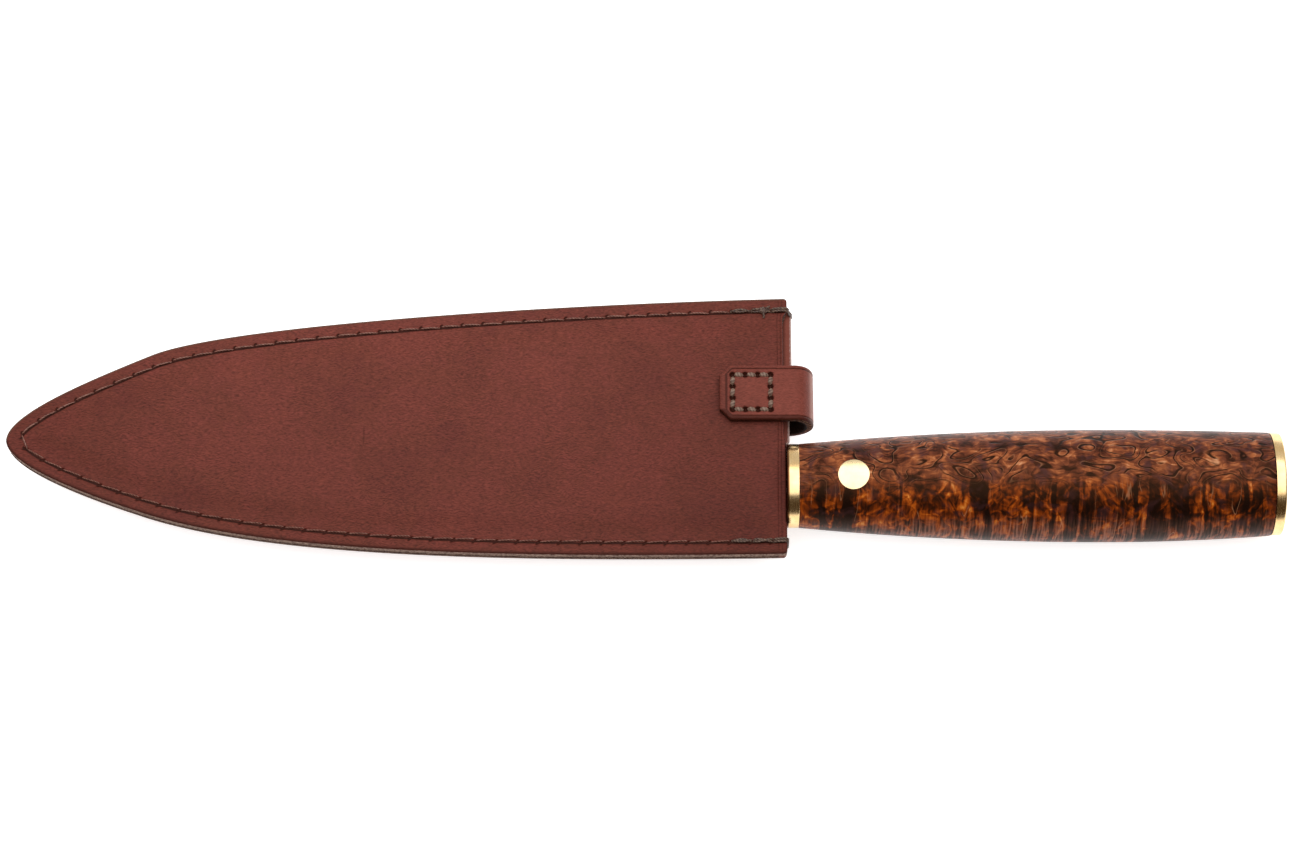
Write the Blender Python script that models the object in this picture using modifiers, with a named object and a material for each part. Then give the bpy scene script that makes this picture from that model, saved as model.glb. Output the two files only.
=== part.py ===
"""A gyuto, a Japanese chef's knife, lying in its stitched leather sheath with a snap strap.

Frame: the origin is where the handle's axis meets the butt cap's flat end. +X runs out of the
butt along that axis, +Y from the spine towards the cutting edge, +Z up, out of the sheath's
front panel. Lengths are in metres, written in millimetres with MM, and slopes in degrees.
"""

import math

import bmesh
import bpy
import numpy as np

MM = 0.001

# Gaps between pieces
seat_gap = 0.2 * MM
mouth_gap = 0.3 * MM
running_gap = 0.3 * MM

# Handle
handle_length = 120.0 * MM
handle_front_half_height = 10.9 * MM
handle_belly_half_height = 14.56 * MM
handle_butt_half_height = 13.4 * MM
handle_belly_from_butt = 43.2 * MM
handle_depth_ratio = 0.87
handle_butt_rise = 0.5 * MM

# Brass fittings of the handle
ferrule_thickness = 2.3 * MM
ferrule_inset = 0.15 * MM
butt_cap_thickness = 2.6 * MM
butt_cap_inset = 0.1 * MM
fitting_edge = 0.4 * MM
handle_pin_radius = 4.0 * MM
handle_pin_from_front = 13.3 * MM
cap_pin_radius = 1.5 * MM
cap_pin_length = 14.0 * MM
cap_pin_in_cap = 1.4 * MM
cap_pin_spacing = 13.0 * MM

# Blade and tang
blade_spine_thickness = 2.2 * MM
blade_edge_thickness = 0.5 * MM
blade_tip_thickness = 0.75 * MM
blade_bevel_width = 1.5 * MM
blade_cutting_thickness = 0.1 * MM
blade_in_spine_side = 10.7 * MM
blade_in_edge_side = 10.4 * MM
heel_setback = 6.0 * MM
neck_half_height = 8.0 * MM
choil_radius = 2.0 * MM
tang_length = 88.0 * MM
tang_front_height = 14.0 * MM
tang_end_height = 8.0 * MM

# Sheath outline, seen from the front
sheath_length = 200.7 * MM
mouth_edge_y = 50.33 * MM
mouth_spine_y = -18.65 * MM
mouth_edge_handle = 59.6 * MM
mouth_spine_handle = 64.5 * MM
mouth_edge_slope = 1.4
mouth_spine_slope = -0.9
tip_y = 11.7 * MM
tip_edge_handle = 6.9 * MM
tip_spine_handle = 7.9 * MM
edge_shoulder_back = 36.4 * MM
edge_shoulder_out = 23.1 * MM
edge_shoulder_slope = 23.4
edge_shoulder_tip_handle = 18.6 * MM
edge_shoulder_mouth_handle = 20.6 * MM
spine_shoulder_back = 35.5 * MM
spine_shoulder_out = 19.4 * MM
spine_shoulder_slope = 18.8
spine_shoulder_tip_handle = 4.7 * MM
spine_shoulder_mouth_handle = 35.3 * MM

# Sheath leather and seam
panel_thickness = 1.7 * MM
panel_edge = 0.35 * MM
welt_thickness = 0.9 * MM
welt_width = 8.0 * MM
crown_height = 0.9 * MM
crown_start = 4.4 * MM
crown_end = 11.5 * MM
tip_fan = 12.0 * MM
seam_inset = 3.4 * MM
groove_half_width = 0.65 * MM
groove_floor_half_width = 0.3 * MM
groove_depth = 0.5 * MM
thread_radius = 0.4 * MM
thread_lift = 0.1 * MM
mouth_stitch_length = 3.6 * MM

# Strap
strap_width = 14.0 * MM
strap_thickness = 2.2 * MM
strap_edge = 0.4 * MM
strap_y = 23.4 * MM
strap_root_from_mouth = 17.5 * MM
strap_corner = 3.0 * MM
strap_bend_from_mouth = 1.6 * MM
strap_front_bend = 4.0 * MM
strap_back_bend = 6.5 * MM
strap_end_past_snap = 8.0 * MM
box_stitch_side = 9.0 * MM
box_stitch_from_root = 8.5 * MM
box_stitch_groove = 0.6 * MM

# Snap fastener
snap_from_mouth = 13.9 * MM
post_flange_radius = 4.5 * MM
post_flange_thickness = 0.4 * MM
post_radius = 1.8 * MM
stud_flange_radius = 5.0 * MM
stud_flange_thickness = 0.7 * MM
stud_neck_radius = 2.7 * MM
stud_head_radius = 3.1 * MM
stud_head_drop = 0.8 * MM
stud_dome_radius = 2.1 * MM
stud_height = 3.0 * MM
socket_radius = 5.6 * MM
socket_height = 2.7 * MM
socket_web = 0.4 * MM
cap_radius = 6.2 * MM
cap_height = 1.35 * MM
cap_shank_radius = 1.6 * MM

# Facets
weld = 0.002 * MM
oval_sides = 32
handle_stations = 14
blade_stations = 30
panel_stations = 22
outline_points = 400
turn_steps = 20
bend_steps = 7
strap_hinge_step = 4

# Places along the handle's axis
handle_butt_x = -(butt_cap_thickness + seat_gap)
handle_front_x = handle_butt_x - handle_length
belly_x = handle_butt_x - handle_belly_from_butt
ferrule_back_x = handle_front_x - seat_gap
ferrule_front_x = ferrule_back_x - ferrule_thickness
mouth_x = ferrule_front_x - mouth_gap
handle_pin_x = handle_front_x + handle_pin_from_front
heel_x = mouth_x - heel_setback
tang_end_x = handle_front_x + tang_length
sheath_tip_x = mouth_x - sheath_length

# Heights in the sheath, the same above and below the blade's middle plane
seam_inner_z = welt_thickness / 2 + seat_gap
seam_outer_z = seam_inner_z + panel_thickness
thread_z = seam_outer_z + thread_lift
flat_inner_z = seam_inner_z + crown_height
flat_outer_z = seam_outer_z + crown_height

# Places of the strap and its snap, with Z measured down from the back panel
strap_front_z = flat_outer_z + seat_gap + strap_thickness / 2
strap_top_z = strap_front_z + strap_thickness / 2
strap_root_x = mouth_x - strap_root_from_mouth
strap_bend_x = mouth_x + strap_bend_from_mouth
box_stitch_x = strap_root_x + box_stitch_from_root
snap_x = mouth_x - snap_from_mouth
post_top_z = -(flat_inner_z - seat_gap - post_flange_thickness)
stud_top_z = -(flat_outer_z + seat_gap)
stud_flange_z = stud_top_z - stud_flange_thickness
stud_end_z = stud_top_z - stud_height
socket_top_z = stud_flange_z - seat_gap
socket_end_z = socket_top_z - socket_height
strap_back_z = socket_end_z - seat_gap - strap_thickness / 2
cap_top_z = strap_back_z - strap_thickness / 2 - seat_gap

STEEL = ("blade_steel", (0.62, 0.63, 0.65), 1.0, 0.25)
BRASS = ("brass", (0.80, 0.62, 0.30), 1.0, 0.22)
WOOD = ("stained_curly_wood", (0.24, 0.09, 0.035), 0.0, 0.30)
LEATHER = ("red_brown_leather", (0.18, 0.055, 0.042), 0.0, 0.50)
THREAD = ("waxed_thread", (0.06, 0.035, 0.026), 0.0, 0.60)
SNAP_METAL = ("antique_brass_snap", (0.45, 0.34, 0.19), 1.0, 0.35)


def material(spec, node):
    """A Principled material of its own for one node: (name, colour, metallic, roughness)."""
    name, colour, metallic, roughness = spec
    made = bpy.data.materials.new(f"{node}_{name}")
    made.use_nodes = True
    shader = made.node_tree.nodes["Principled BSDF"]
    shader.inputs["Base Color"].default_value = (*colour, 1.0)
    shader.inputs["Metallic"].default_value = metallic
    shader.inputs["Roughness"].default_value = roughness
    return made


def add_object(name, mesh, collection, spec=None):
    """Puts a mesh in a collection as a named object with smooth shading."""
    made = bpy.data.objects.new(name, mesh)
    collection.objects.link(made)
    if spec:
        mesh.materials.append(material(spec, name))
    mesh.shade_smooth()
    mesh.set_sharp_from_angle(angle=math.radians(35))
    return made


def mesh_from(bm, name):
    """Closes a bmesh into mesh data with its faces pointing out."""
    bmesh.ops.remove_doubles(bm, verts=bm.verts, dist=weld)
    bmesh.ops.recalc_face_normals(bm, faces=bm.faces)
    mesh = bpy.data.meshes.new(name)
    bm.to_mesh(mesh)
    bm.free()
    return mesh


def loft(name, sections, collection, spec=None, close_end=True):
    """Skins closed sections that have the same number of points, and closes the ends."""
    bm = bmesh.new()
    rings = [[bm.verts.new(point) for point in section] for section in sections]
    for ring, following in zip(rings, rings[1:]):
        for i in range(len(ring)):
            j = (i + 1) % len(ring)
            bm.faces.new((ring[i], ring[j], following[j], following[i]))
    bm.faces.new(rings[0])
    if close_end:
        bm.faces.new(rings[-1])
    return add_object(name, mesh_from(bm, name), collection, spec)


def turned(name, profile, place, collection, spec, closed=False):
    """Turns a profile of (radius, z) points about a vertical axis through place."""
    bm = bmesh.new()
    verts = [bm.verts.new((radius, 0, z)) for radius, z in profile]
    pairs = list(zip(verts, verts[1:]))
    if closed:
        pairs.append((verts[-1], verts[0]))
    for pair in pairs:
        bm.edges.new(pair)
    mesh = bpy.data.meshes.new(name)
    bm.to_mesh(mesh)
    bm.free()
    made = add_object(name, mesh, collection, spec)
    made.location = place
    screw = made.modifiers.new("turn", "SCREW")
    screw.steps = turn_steps
    screw.render_steps = turn_steps
    screw.use_merge_vertices = True
    screw.merge_threshold = weld
    screw.use_smooth_shade = True
    return made


def rod(name, radius, start, end, collection, spec=None, sides=24):
    """A round rod between two points, along X or Z."""
    start, end = np.array(start), np.array(end)
    length = float(np.linalg.norm(end - start))
    bm = bmesh.new()
    bmesh.ops.create_cone(
        bm, cap_ends=True, segments=sides, radius1=radius, radius2=radius, depth=length
    )
    mesh = bpy.data.meshes.new(name)
    bm.to_mesh(mesh)
    bm.free()
    made = add_object(name, mesh, collection, spec)
    made.location = (start + end) / 2
    if abs(end[0] - start[0]) > abs(end[2] - start[2]):
        made.rotation_euler = (0, math.pi / 2, 0)
    return made


def block(name, low, high, collection):
    """A box between two corners."""
    low, high = np.array(low), np.array(high)
    bm = bmesh.new()
    bmesh.ops.create_cube(bm, size=1)
    bmesh.ops.scale(bm, vec=high - low, verts=bm.verts)
    mesh = bpy.data.meshes.new(name)
    bm.to_mesh(mesh)
    bm.free()
    made = add_object(name, mesh, collection)
    made.location = (low + high) / 2
    return made


def thread(name, points, collection, spec=None, radius=thread_radius, cyclic=False):
    """A thread along its route: a bevelled curve, made a mesh and welded at its ends."""
    curve = bpy.data.curves.new(name, "CURVE")
    curve.dimensions = "3D"
    curve.bevel_depth = radius
    curve.bevel_resolution = 1
    curve.use_fill_caps = True
    spline = curve.splines.new("POLY")
    spline.points.add(len(points) - 1)
    for spot, point in zip(spline.points, points):
        spot.co = (*point, 1)
    spline.use_cyclic_u = cyclic
    guide = bpy.data.objects.new(f"{name}_route", curve)
    collection.objects.link(guide)
    evaluated = guide.evaluated_get(bpy.context.evaluated_depsgraph_get())
    mesh = bpy.data.meshes.new_from_object(evaluated)
    bpy.data.objects.remove(guide)
    bm = bmesh.new()
    bm.from_mesh(mesh)
    return add_object(name, mesh_from(bm, name), collection, spec)


def cut(piece, cutter, operation="DIFFERENCE"):
    """Cuts a piece with another object, kept as a wire guide that isn't rendered."""
    cutter.hide_render = True
    cutter.display_type = "WIRE"
    boolean = piece.modifiers.new(cutter.name, "BOOLEAN")
    boolean.operation = operation
    boolean.solver = "EXACT"
    boolean.object = cutter


def bevelled(piece, width):
    """Eases a fitting's edges."""
    bevel = piece.modifiers.new("edge", "BEVEL")
    bevel.width = width
    bevel.segments = 2
    bevel.limit_method = "ANGLE"
    bevel.angle_limit = math.radians(50)


def bezier(points, count):
    """Points of a cubic curve in the plane, evenly spaced in its parameter."""
    a, b, c, d = (np.array(point) for point in points)
    t = np.linspace(0, 1, count)[:, None]
    return (1 - t) ** 3 * a + 3 * (1 - t) ** 2 * t * b + 3 * (1 - t) * t**2 * c + t**3 * d


def sheath_side(sign):
    """The sheath's outline on the edge side (1) or the spine side (-1), from mouth to tip."""
    if sign > 0:
        back, out, slope = edge_shoulder_back, edge_shoulder_out, edge_shoulder_slope
        to_tip, to_mouth = edge_shoulder_tip_handle, edge_shoulder_mouth_handle
        tip_handle, mouth_handle = tip_edge_handle, mouth_edge_handle
        mouth_y, mouth_slope = mouth_edge_y, mouth_edge_slope
    else:
        back, out, slope = spine_shoulder_back, spine_shoulder_out, spine_shoulder_slope
        to_tip, to_mouth = spine_shoulder_tip_handle, spine_shoulder_mouth_handle
        tip_handle, mouth_handle = tip_spine_handle, mouth_spine_handle
        mouth_y, mouth_slope = mouth_spine_y, mouth_spine_slope
    tip = np.array((sheath_tip_x, tip_y))
    shoulder = tip + (back, sign * out)
    run = np.array((math.cos(math.radians(slope)), sign * math.sin(math.radians(slope))))
    mouth = np.array((mouth_x, mouth_y))
    mouth_angle = math.radians(mouth_slope)
    mouth_run = np.array((math.cos(mouth_angle), sign * math.sin(mouth_angle)))
    long_side = bezier(
        (mouth, mouth - mouth_handle * mouth_run, shoulder + to_mouth * run, shoulder),
        outline_points,
    )
    nose = bezier(
        (shoulder, shoulder - to_tip * run, tip + (0, sign * tip_handle), tip), outline_points
    )
    return np.concatenate((long_side, nose[1:]))


def travelled(line):
    """How far along a line each of its points lies."""
    return np.concatenate(([0], np.cumsum(np.linalg.norm(np.diff(line, axis=0), axis=1))))


def inward(line, sign):
    """Unit normals of an outline's side, into the sheath, square to the axis at both ends."""
    run = np.gradient(line, axis=0)
    run /= np.linalg.norm(run, axis=1)[:, None]
    run[0] = (-1, 0)
    run[-1] = (0, -sign)
    return sign * np.column_stack((-run[:, 1], run[:, 0]))


SIDES = {sign: sheath_side(sign) for sign in (1, -1)}
OUTLINE = np.concatenate(list(SIDES.values()))


def depth_inside(point):
    """How far a point lies inside the sheath's outline."""
    return float(np.min(np.linalg.norm(OUTLINE - point, axis=1)))


def crown(point):
    """How much the leather rises over the blade at a point."""
    t = (depth_inside(point) - crown_start) / (crown_end - crown_start)
    t = min(max(t, 0), 1)
    return crown_height * t * t * (3 - 2 * t)


def stations(sign):
    """Points of the outline and their inward normals, closer together towards the tip.

    The second station lies one mouth stitch away from the mouth.
    """
    line = SIDES[sign]
    normals = inward(line, sign)
    length = travelled(line)
    ease = 1 - (1 - np.linspace(0, 1, panel_stations)) ** 1.5
    places = mouth_stitch_length + ease * (length[-1] - mouth_stitch_length)
    places = np.concatenate(([0], places))
    at = [np.interp(places, length, line[:, axis]) for axis in (0, 1)]
    facing = [np.interp(places, length, normals[:, axis]) for axis in (0, 1)]
    facing = np.column_stack(facing)
    facing /= np.linalg.norm(facing, axis=1)[:, None]
    return np.column_stack(at), facing


def middle_line():
    """The sheath's middle, one point for each station, ending short of the tip's round."""
    edge, spine = stations(1)[0], stations(-1)[0]
    middle = (edge + spine) / 2
    share = (sheath_length - tip_fan) / sheath_length
    middle[:, 0] = mouth_x + (middle[:, 0] - mouth_x) * share
    return middle


def column(start, normal, middle, distance, order, count):
    """A point at a distance inside the outline, on a ray that turns towards the middle.

    Near the tip, where the sheath is narrow, the columns share the way to the middle evenly.
    """
    if distance <= crown_start:
        return start + distance * normal
    base = start + crown_start * normal
    way = middle - base
    reach = float(np.linalg.norm(way))
    step = min(distance - crown_start, reach * order / count)
    return base + way * (step / reach)


def half_section(start, normal, middle, rows):
    """One half of a section: (x, y, z) for each row of (distance, z, rises with the crown)."""
    rising = [row for row in rows if row[0] > crown_start]
    points = []
    for distance, height, rises in rows:
        order = rising.index((distance, height, rises)) + 1 if rises else 0
        spot = column(start, normal, middle, distance, order, len(rising) + 1)
        points.append((*spot, height + (crown(spot) if rises else 0)))
    return points


def panel_sections(side):
    """Sections of a leather panel from mouth to tip; side is 1 for the front, -1 for the back.

    Each is a closed loop: over the outer face from the edge side to the spine side, then
    back along the inner face. The outer face has the groove that the seam's thread lies in.
    """
    groove_z = seam_outer_z - groove_depth
    outer = [
        (0, seam_outer_z - panel_edge, False),
        (panel_edge, seam_outer_z, False),
        (seam_inset - groove_half_width, seam_outer_z, False),
        (seam_inset - groove_floor_half_width, groove_z, False),
        (seam_inset + groove_floor_half_width, groove_z, False),
        (seam_inset + groove_half_width, seam_outer_z, False),
    ]
    rise = crown_end - crown_start
    outer += [(crown_start + rise * share, seam_outer_z, True) for share in (0.3, 0.5, 0.7, 1)]
    inner = [(0, seam_inner_z, False), (crown_start, seam_inner_z, False)]
    inner += [(crown_start + rise * share, seam_inner_z, True) for share in (0.3, 0.6, 1)]
    (edge, edge_normals), (spine, spine_normals) = stations(1), stations(-1)
    sections = []
    for row, middle in enumerate(middle_line()):
        from_edge = (edge[row], edge_normals[row], middle)
        from_spine = (spine[row], spine_normals[row], middle)
        top = (*middle, seam_outer_z + crown(middle))
        under = (*middle, seam_inner_z + crown(middle))
        loop = half_section(*from_edge, outer) + [top] + half_section(*from_spine, outer)[::-1]
        loop += half_section(*from_spine, inner) + [under] + half_section(*from_edge, inner)[::-1]
        sections.append([(x, y, side * z) for x, y, z in loop])
    return sections


def seam_line():
    """The seam's route round the sheath, from the edge side's last hole to the spine side's."""
    runs = []
    for sign in (1, -1):
        points, normals = stations(sign)
        runs.append((points + seam_inset * normals)[1:])
    return np.concatenate((runs[0], runs[1][-2::-1]))


def blade_line(sign):
    """The blade's spine or edge as (x, y), set in from the sheath's outline, in rising x."""
    line = SIDES[sign]
    inset = blade_in_edge_side if sign > 0 else blade_in_spine_side
    moved = line + inset * inward(line, sign)
    kept = moved[sign * (moved[:, 1] - tip_y) > -inset / 2]
    return kept[np.argsort(kept[:, 0])]


def blade_sections():
    """Sections of blade, neck and tang from the tip to the tang's end, six points each."""
    spine, edge = blade_line(-1), blade_line(1)

    def spine_at(x):
        return float(np.interp(x, spine[:, 0], spine[:, 1]))

    def edge_at(x):
        return float(np.interp(x, edge[:, 0], edge[:, 1]))

    far = np.linspace(sheath_tip_x, heel_x, 2 * outline_points)
    wide = [x for x in far if edge_at(x) - spine_at(x) > blade_bevel_width / 2]
    blade_tip_x = wide[0]
    heel_spine_y = spine_at(heel_x)
    half_spine = blade_spine_thickness / 2
    narrowing = (half_spine - blade_edge_thickness / 2) / (edge_at(heel_x) - heel_spine_y)
    tip_half = half_spine - narrowing * (edge_at(blade_tip_x) - heel_spine_y)
    thinning = (tip_half - blade_tip_thickness / 2) / (heel_x - blade_tip_x)

    def wedge(x, y):
        half = half_spine - narrowing * (y - heel_spine_y) - thinning * (heel_x - x)
        return max(min(half, half_spine), blade_cutting_thickness)

    def section(x, low, high, bevel, edge_half):
        turn = max(high - bevel, (low + high) / 2)
        halves = ((low, wedge(x, low)), (turn, wedge(x, turn)), (high, edge_half))
        up = [(x, y, half) for y, half in halves]
        return up + [(x, y, -half) for y, half in halves[::-1]]

    run = 1 - (1 - np.linspace(0, 1, blade_stations)) ** 1.6
    sections = []
    for x in (heel_x + (blade_tip_x - heel_x) * run)[::-1]:
        cutting = blade_cutting_thickness / 2
        sections.append(section(x, spine_at(x), edge_at(x), blade_bevel_width, cutting))
    low = heel_spine_y
    for turn in (0, 30, 60, 90):
        x = heel_x + choil_radius * math.sin(math.radians(turn)) + weld
        y = neck_half_height + choil_radius * (1 - math.sin(math.radians(turn)))
        sections.append(section(x, low, y, strap_edge, wedge(x, y)))

    def bar(x, low, high):
        eased = half_spine - fitting_edge / 2
        halves = ((low, half_spine), (high - fitting_edge, half_spine), (high, eased))
        up = [(x, y, half) for y, half in halves]
        return up + [(x, y, -half) for y, half in halves[::-1]]

    shoulder_x = ferrule_front_x - seat_gap
    tang_half = tang_front_height / 2
    sections.append(bar(shoulder_x - fitting_edge, low, neck_half_height))
    sections.append(bar(shoulder_x, -tang_half, tang_half))
    sections.append(bar(handle_pin_x, -tang_half, tang_half))
    sections.append(bar(tang_end_x, -tang_end_height / 2, tang_end_height / 2))
    return sections


def handle_half_height(x):
    """The handle's half height at x: one bulging line on each side of the belly."""
    if x > belly_x:
        drop = handle_belly_half_height - handle_butt_half_height
        return handle_belly_half_height - drop * ((x - belly_x) / handle_belly_from_butt) ** 2
    drop = handle_belly_half_height - handle_front_half_height
    return handle_belly_half_height - drop * ((belly_x - x) / (belly_x - handle_front_x)) ** 2


def handle_centre_y(x):
    """The handle's centre line, which rises a little towards the edge side at the butt."""
    return handle_butt_rise * (max(x - belly_x, 0) / handle_belly_from_butt) ** 2


def handle_oval(x, inset=0.0, at_x=None):
    """An oval section of the handle, taken at x and placed at at_x."""
    half_y = handle_half_height(x) - inset
    half_z = handle_half_height(x) * handle_depth_ratio - inset
    turns = np.linspace(0, 2 * math.pi, oval_sides, endpoint=False)
    place = x if at_x is None else at_x
    centre = handle_centre_y(x)
    return [(place, centre + half_y * math.cos(t), half_z * math.sin(t)) for t in turns]


def handle_sections(inset=0.0):
    """The wood's sections from its front to its butt."""
    return [
        handle_oval(x, inset) for x in np.linspace(handle_front_x, handle_butt_x, handle_stations)
    ]


def make_knife(parts, cutters):
    """Blade with tang, ferrule, handle, pin, butt cap and the cap's hidden pins."""
    blade = loft("blade", blade_sections(), parts, STEEL)
    pin_reach = handle_belly_half_height
    low, high = (handle_pin_x, 0, -pin_reach), (handle_pin_x, 0, pin_reach)
    tang_hole = rod("tang_hole", handle_pin_radius + running_gap, low, high, cutters)
    cut(blade, tang_hole)

    slot_y = tang_front_height / 2 + running_gap
    slot_z = blade_spine_thickness / 2 + running_gap
    slot_low = (ferrule_front_x - fitting_edge * 2, -slot_y, -slot_z)
    slot_high = (tang_end_x + running_gap, slot_y, slot_z)
    tang_slot = block("tang_slot", slot_low, slot_high, cutters)

    front = [handle_oval(handle_front_x, ferrule_inset, x) for x in (ferrule_front_x, ferrule_back_x)]
    ferrule = loft("ferrule", front, parts, BRASS)
    bevelled(ferrule, fitting_edge)
    cut(ferrule, tang_slot)

    handle = loft("handle", handle_sections(), parts, WOOD)
    cut(handle, tang_slot)
    cut(handle, rod("pin_hole", handle_pin_radius + seat_gap, low, high, cutters, sides=32))
    pin = rod("handle_pin", handle_pin_radius, low, high, parts, BRASS, sides=32)
    cut(pin, loft("handle_skin", handle_sections(), cutters), "INTERSECT")

    back = [handle_oval(handle_butt_x, butt_cap_inset, x) for x in (-butt_cap_thickness, 0)]
    cap = loft("butt_cap", back, parts, BRASS)
    bevelled(cap, fitting_edge)
    pin_front_x = -butt_cap_thickness + cap_pin_in_cap - cap_pin_length
    pin_back_x = -butt_cap_thickness + cap_pin_in_cap
    for name, sign in (("cap_pin_upper", 1), ("cap_pin_lower", -1)):
        y = handle_centre_y(handle_butt_x) + sign * cap_pin_spacing / 2
        rod(name, cap_pin_radius, (pin_front_x, y, 0), (pin_back_x, y, 0), parts, BRASS, sides=12)
        bore = rod(
            f"{name}_bore",
            cap_pin_radius + seat_gap,
            (pin_front_x - seat_gap, y, 0),
            (pin_back_x + seat_gap, y, 0),
            cutters,
            sides=12,
        )
        cut(cap, bore)
        cut(handle, bore)


def make_sheath(parts, cutters):
    """The two panels, the welt between them and the seam that joins them."""
    loft("front_panel", panel_sections(1), parts, LEATHER, close_end=False)
    back_panel = loft("back_panel", panel_sections(-1), parts, LEATHER, close_end=False)
    post_hole = rod(
        "post_hole",
        post_radius + seat_gap,
        (snap_x, strap_y, -2 * flat_outer_z),
        (snap_x, strap_y, 0),
        cutters,
    )
    cut(back_panel, post_hole)

    half = welt_thickness / 2
    sections = []
    middle = middle_line()
    for sign in (1, -1):
        points, normals = stations(sign)
        side = []
        for start, normal, goal in zip(points, normals, middle):
            share = min(welt_width / depth_inside(goal), 0.9)
            inner = start + (goal - start) * share
            side.append([(*start, half), (*inner, half), (*inner, -half), (*start, -half)])
        sections += side if sign > 0 else side[-2::-1]
    loft("welt", sections, parts, LEATHER)

    line = seam_line()
    for name, side in (("seam_thread_front", 1), ("seam_thread_back", -1)):
        thread(name, [(x, y, side * thread_z) for x, y in line], parts, THREAD)

    inner_x = mouth_x - mouth_stitch_length + 2 * thread_radius
    bow = thread_radius + 1.2 * seat_gap
    for name, y in (("mouth_stitch_edge", line[0][1]), ("mouth_stitch_spine", line[-1][1])):
        over = [
            (inner_x, y, thread_z),
            (mouth_x + bow / 2, y, thread_z),
            (mouth_x + bow, y, thread_z - groove_depth),
        ]
        under = [(x, y, -z) for x, y, z in over[::-1]]
        thread(name, over + under, parts, THREAD)


def strap_section(place, normal, half_width):
    """Eight points round the strap at a place (x, z) of its middle, with eased edges."""
    x, z = place
    half = strap_thickness / 2
    corners = [
        (half_width - strap_edge, half),
        (half_width, half - strap_edge),
        (half_width, strap_edge - half),
        (half_width - strap_edge, -half),
    ]
    corners += [(-across, up) for across, up in corners[::-1]]
    return [(x + up * normal[0], strap_y + across, z + up * normal[1]) for across, up in corners]


def strap_bend():
    """The strap's middle line (x, z) round the mouth: two quarter ovals, front and back."""
    middle_z = (strap_front_z + strap_back_z) / 2
    rise = (strap_front_z - strap_back_z) / 2
    turn_x = strap_bend_x + strap_front_bend
    points = []
    for i in range(bend_steps + 1):
        turn = math.pi / 2 * i / bend_steps
        x = strap_bend_x + strap_front_bend * math.sin(turn)
        points.append((x, middle_z + rise * math.cos(turn)))
    for i in range(1, bend_steps + 1):
        turn = math.pi / 2 * i / bend_steps
        x = turn_x - strap_back_bend * (1 - math.cos(turn))
        points.append((x, middle_z - rise * math.sin(turn)))
    return points


def strap_sections():
    """Sections of the sewn part, which ends at the hinge line in the bend, and of the free part."""
    half = strap_width / 2
    eased = half - strap_corner
    start = [(strap_root_x, strap_front_z), (strap_root_x + strap_corner, strap_front_z)]
    end_x = snap_x - strap_end_past_snap
    end = [(end_x + strap_corner, strap_back_z), (end_x, strap_back_z)]
    path = np.array(start + strap_bend() + end)
    run = np.gradient(path, axis=0)
    run /= np.linalg.norm(run, axis=1)[:, None]
    run[:3] = (1, 0)
    run[-3:] = (-1, 0)
    widths = [eased] + [half] * (len(path) - 2) + [eased]
    hinge = len(start) + strap_hinge_step
    sewn = path[: hinge + 1].copy()
    sewn[-1] -= seat_gap * run[hinge]
    return [
        [
            strap_section(place, (-direction[1], direction[0]), width)
            for place, direction, width in zip(places, runs, halves)
        ]
        for places, runs, halves in (
            (sewn, run, widths),
            (path[hinge:], run[hinge:], widths[hinge:]),
        )
    ]


def make_strap(parts, cutters):
    """The strap's sewn end, its box of stitches and its free part round the mouth."""
    sewn_part, free_part = strap_sections()
    anchor = loft("strap_anchor", sewn_part, parts, LEATHER)
    reach = box_stitch_side / 2
    route_z = strap_top_z + thread_lift
    corners = ((-1, -1), (1, -1), (1, 1), (-1, 1))
    box = [(box_stitch_x + reach * x, strap_y + reach * y, route_z) for x, y in corners]
    thread("strap_thread", box, parts, THREAD, cyclic=True)
    cut(anchor, thread("box_groove", box, cutters, radius=box_stitch_groove, cyclic=True))

    flap = loft("strap_flap", free_part, parts, LEATHER)
    cap_hole = rod(
        "cap_hole",
        cap_shank_radius + seat_gap,
        (snap_x, strap_y, strap_back_z - strap_thickness),
        (snap_x, strap_y, strap_back_z + strap_thickness),
        cutters,
    )
    cut(flap, cap_hole)


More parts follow.
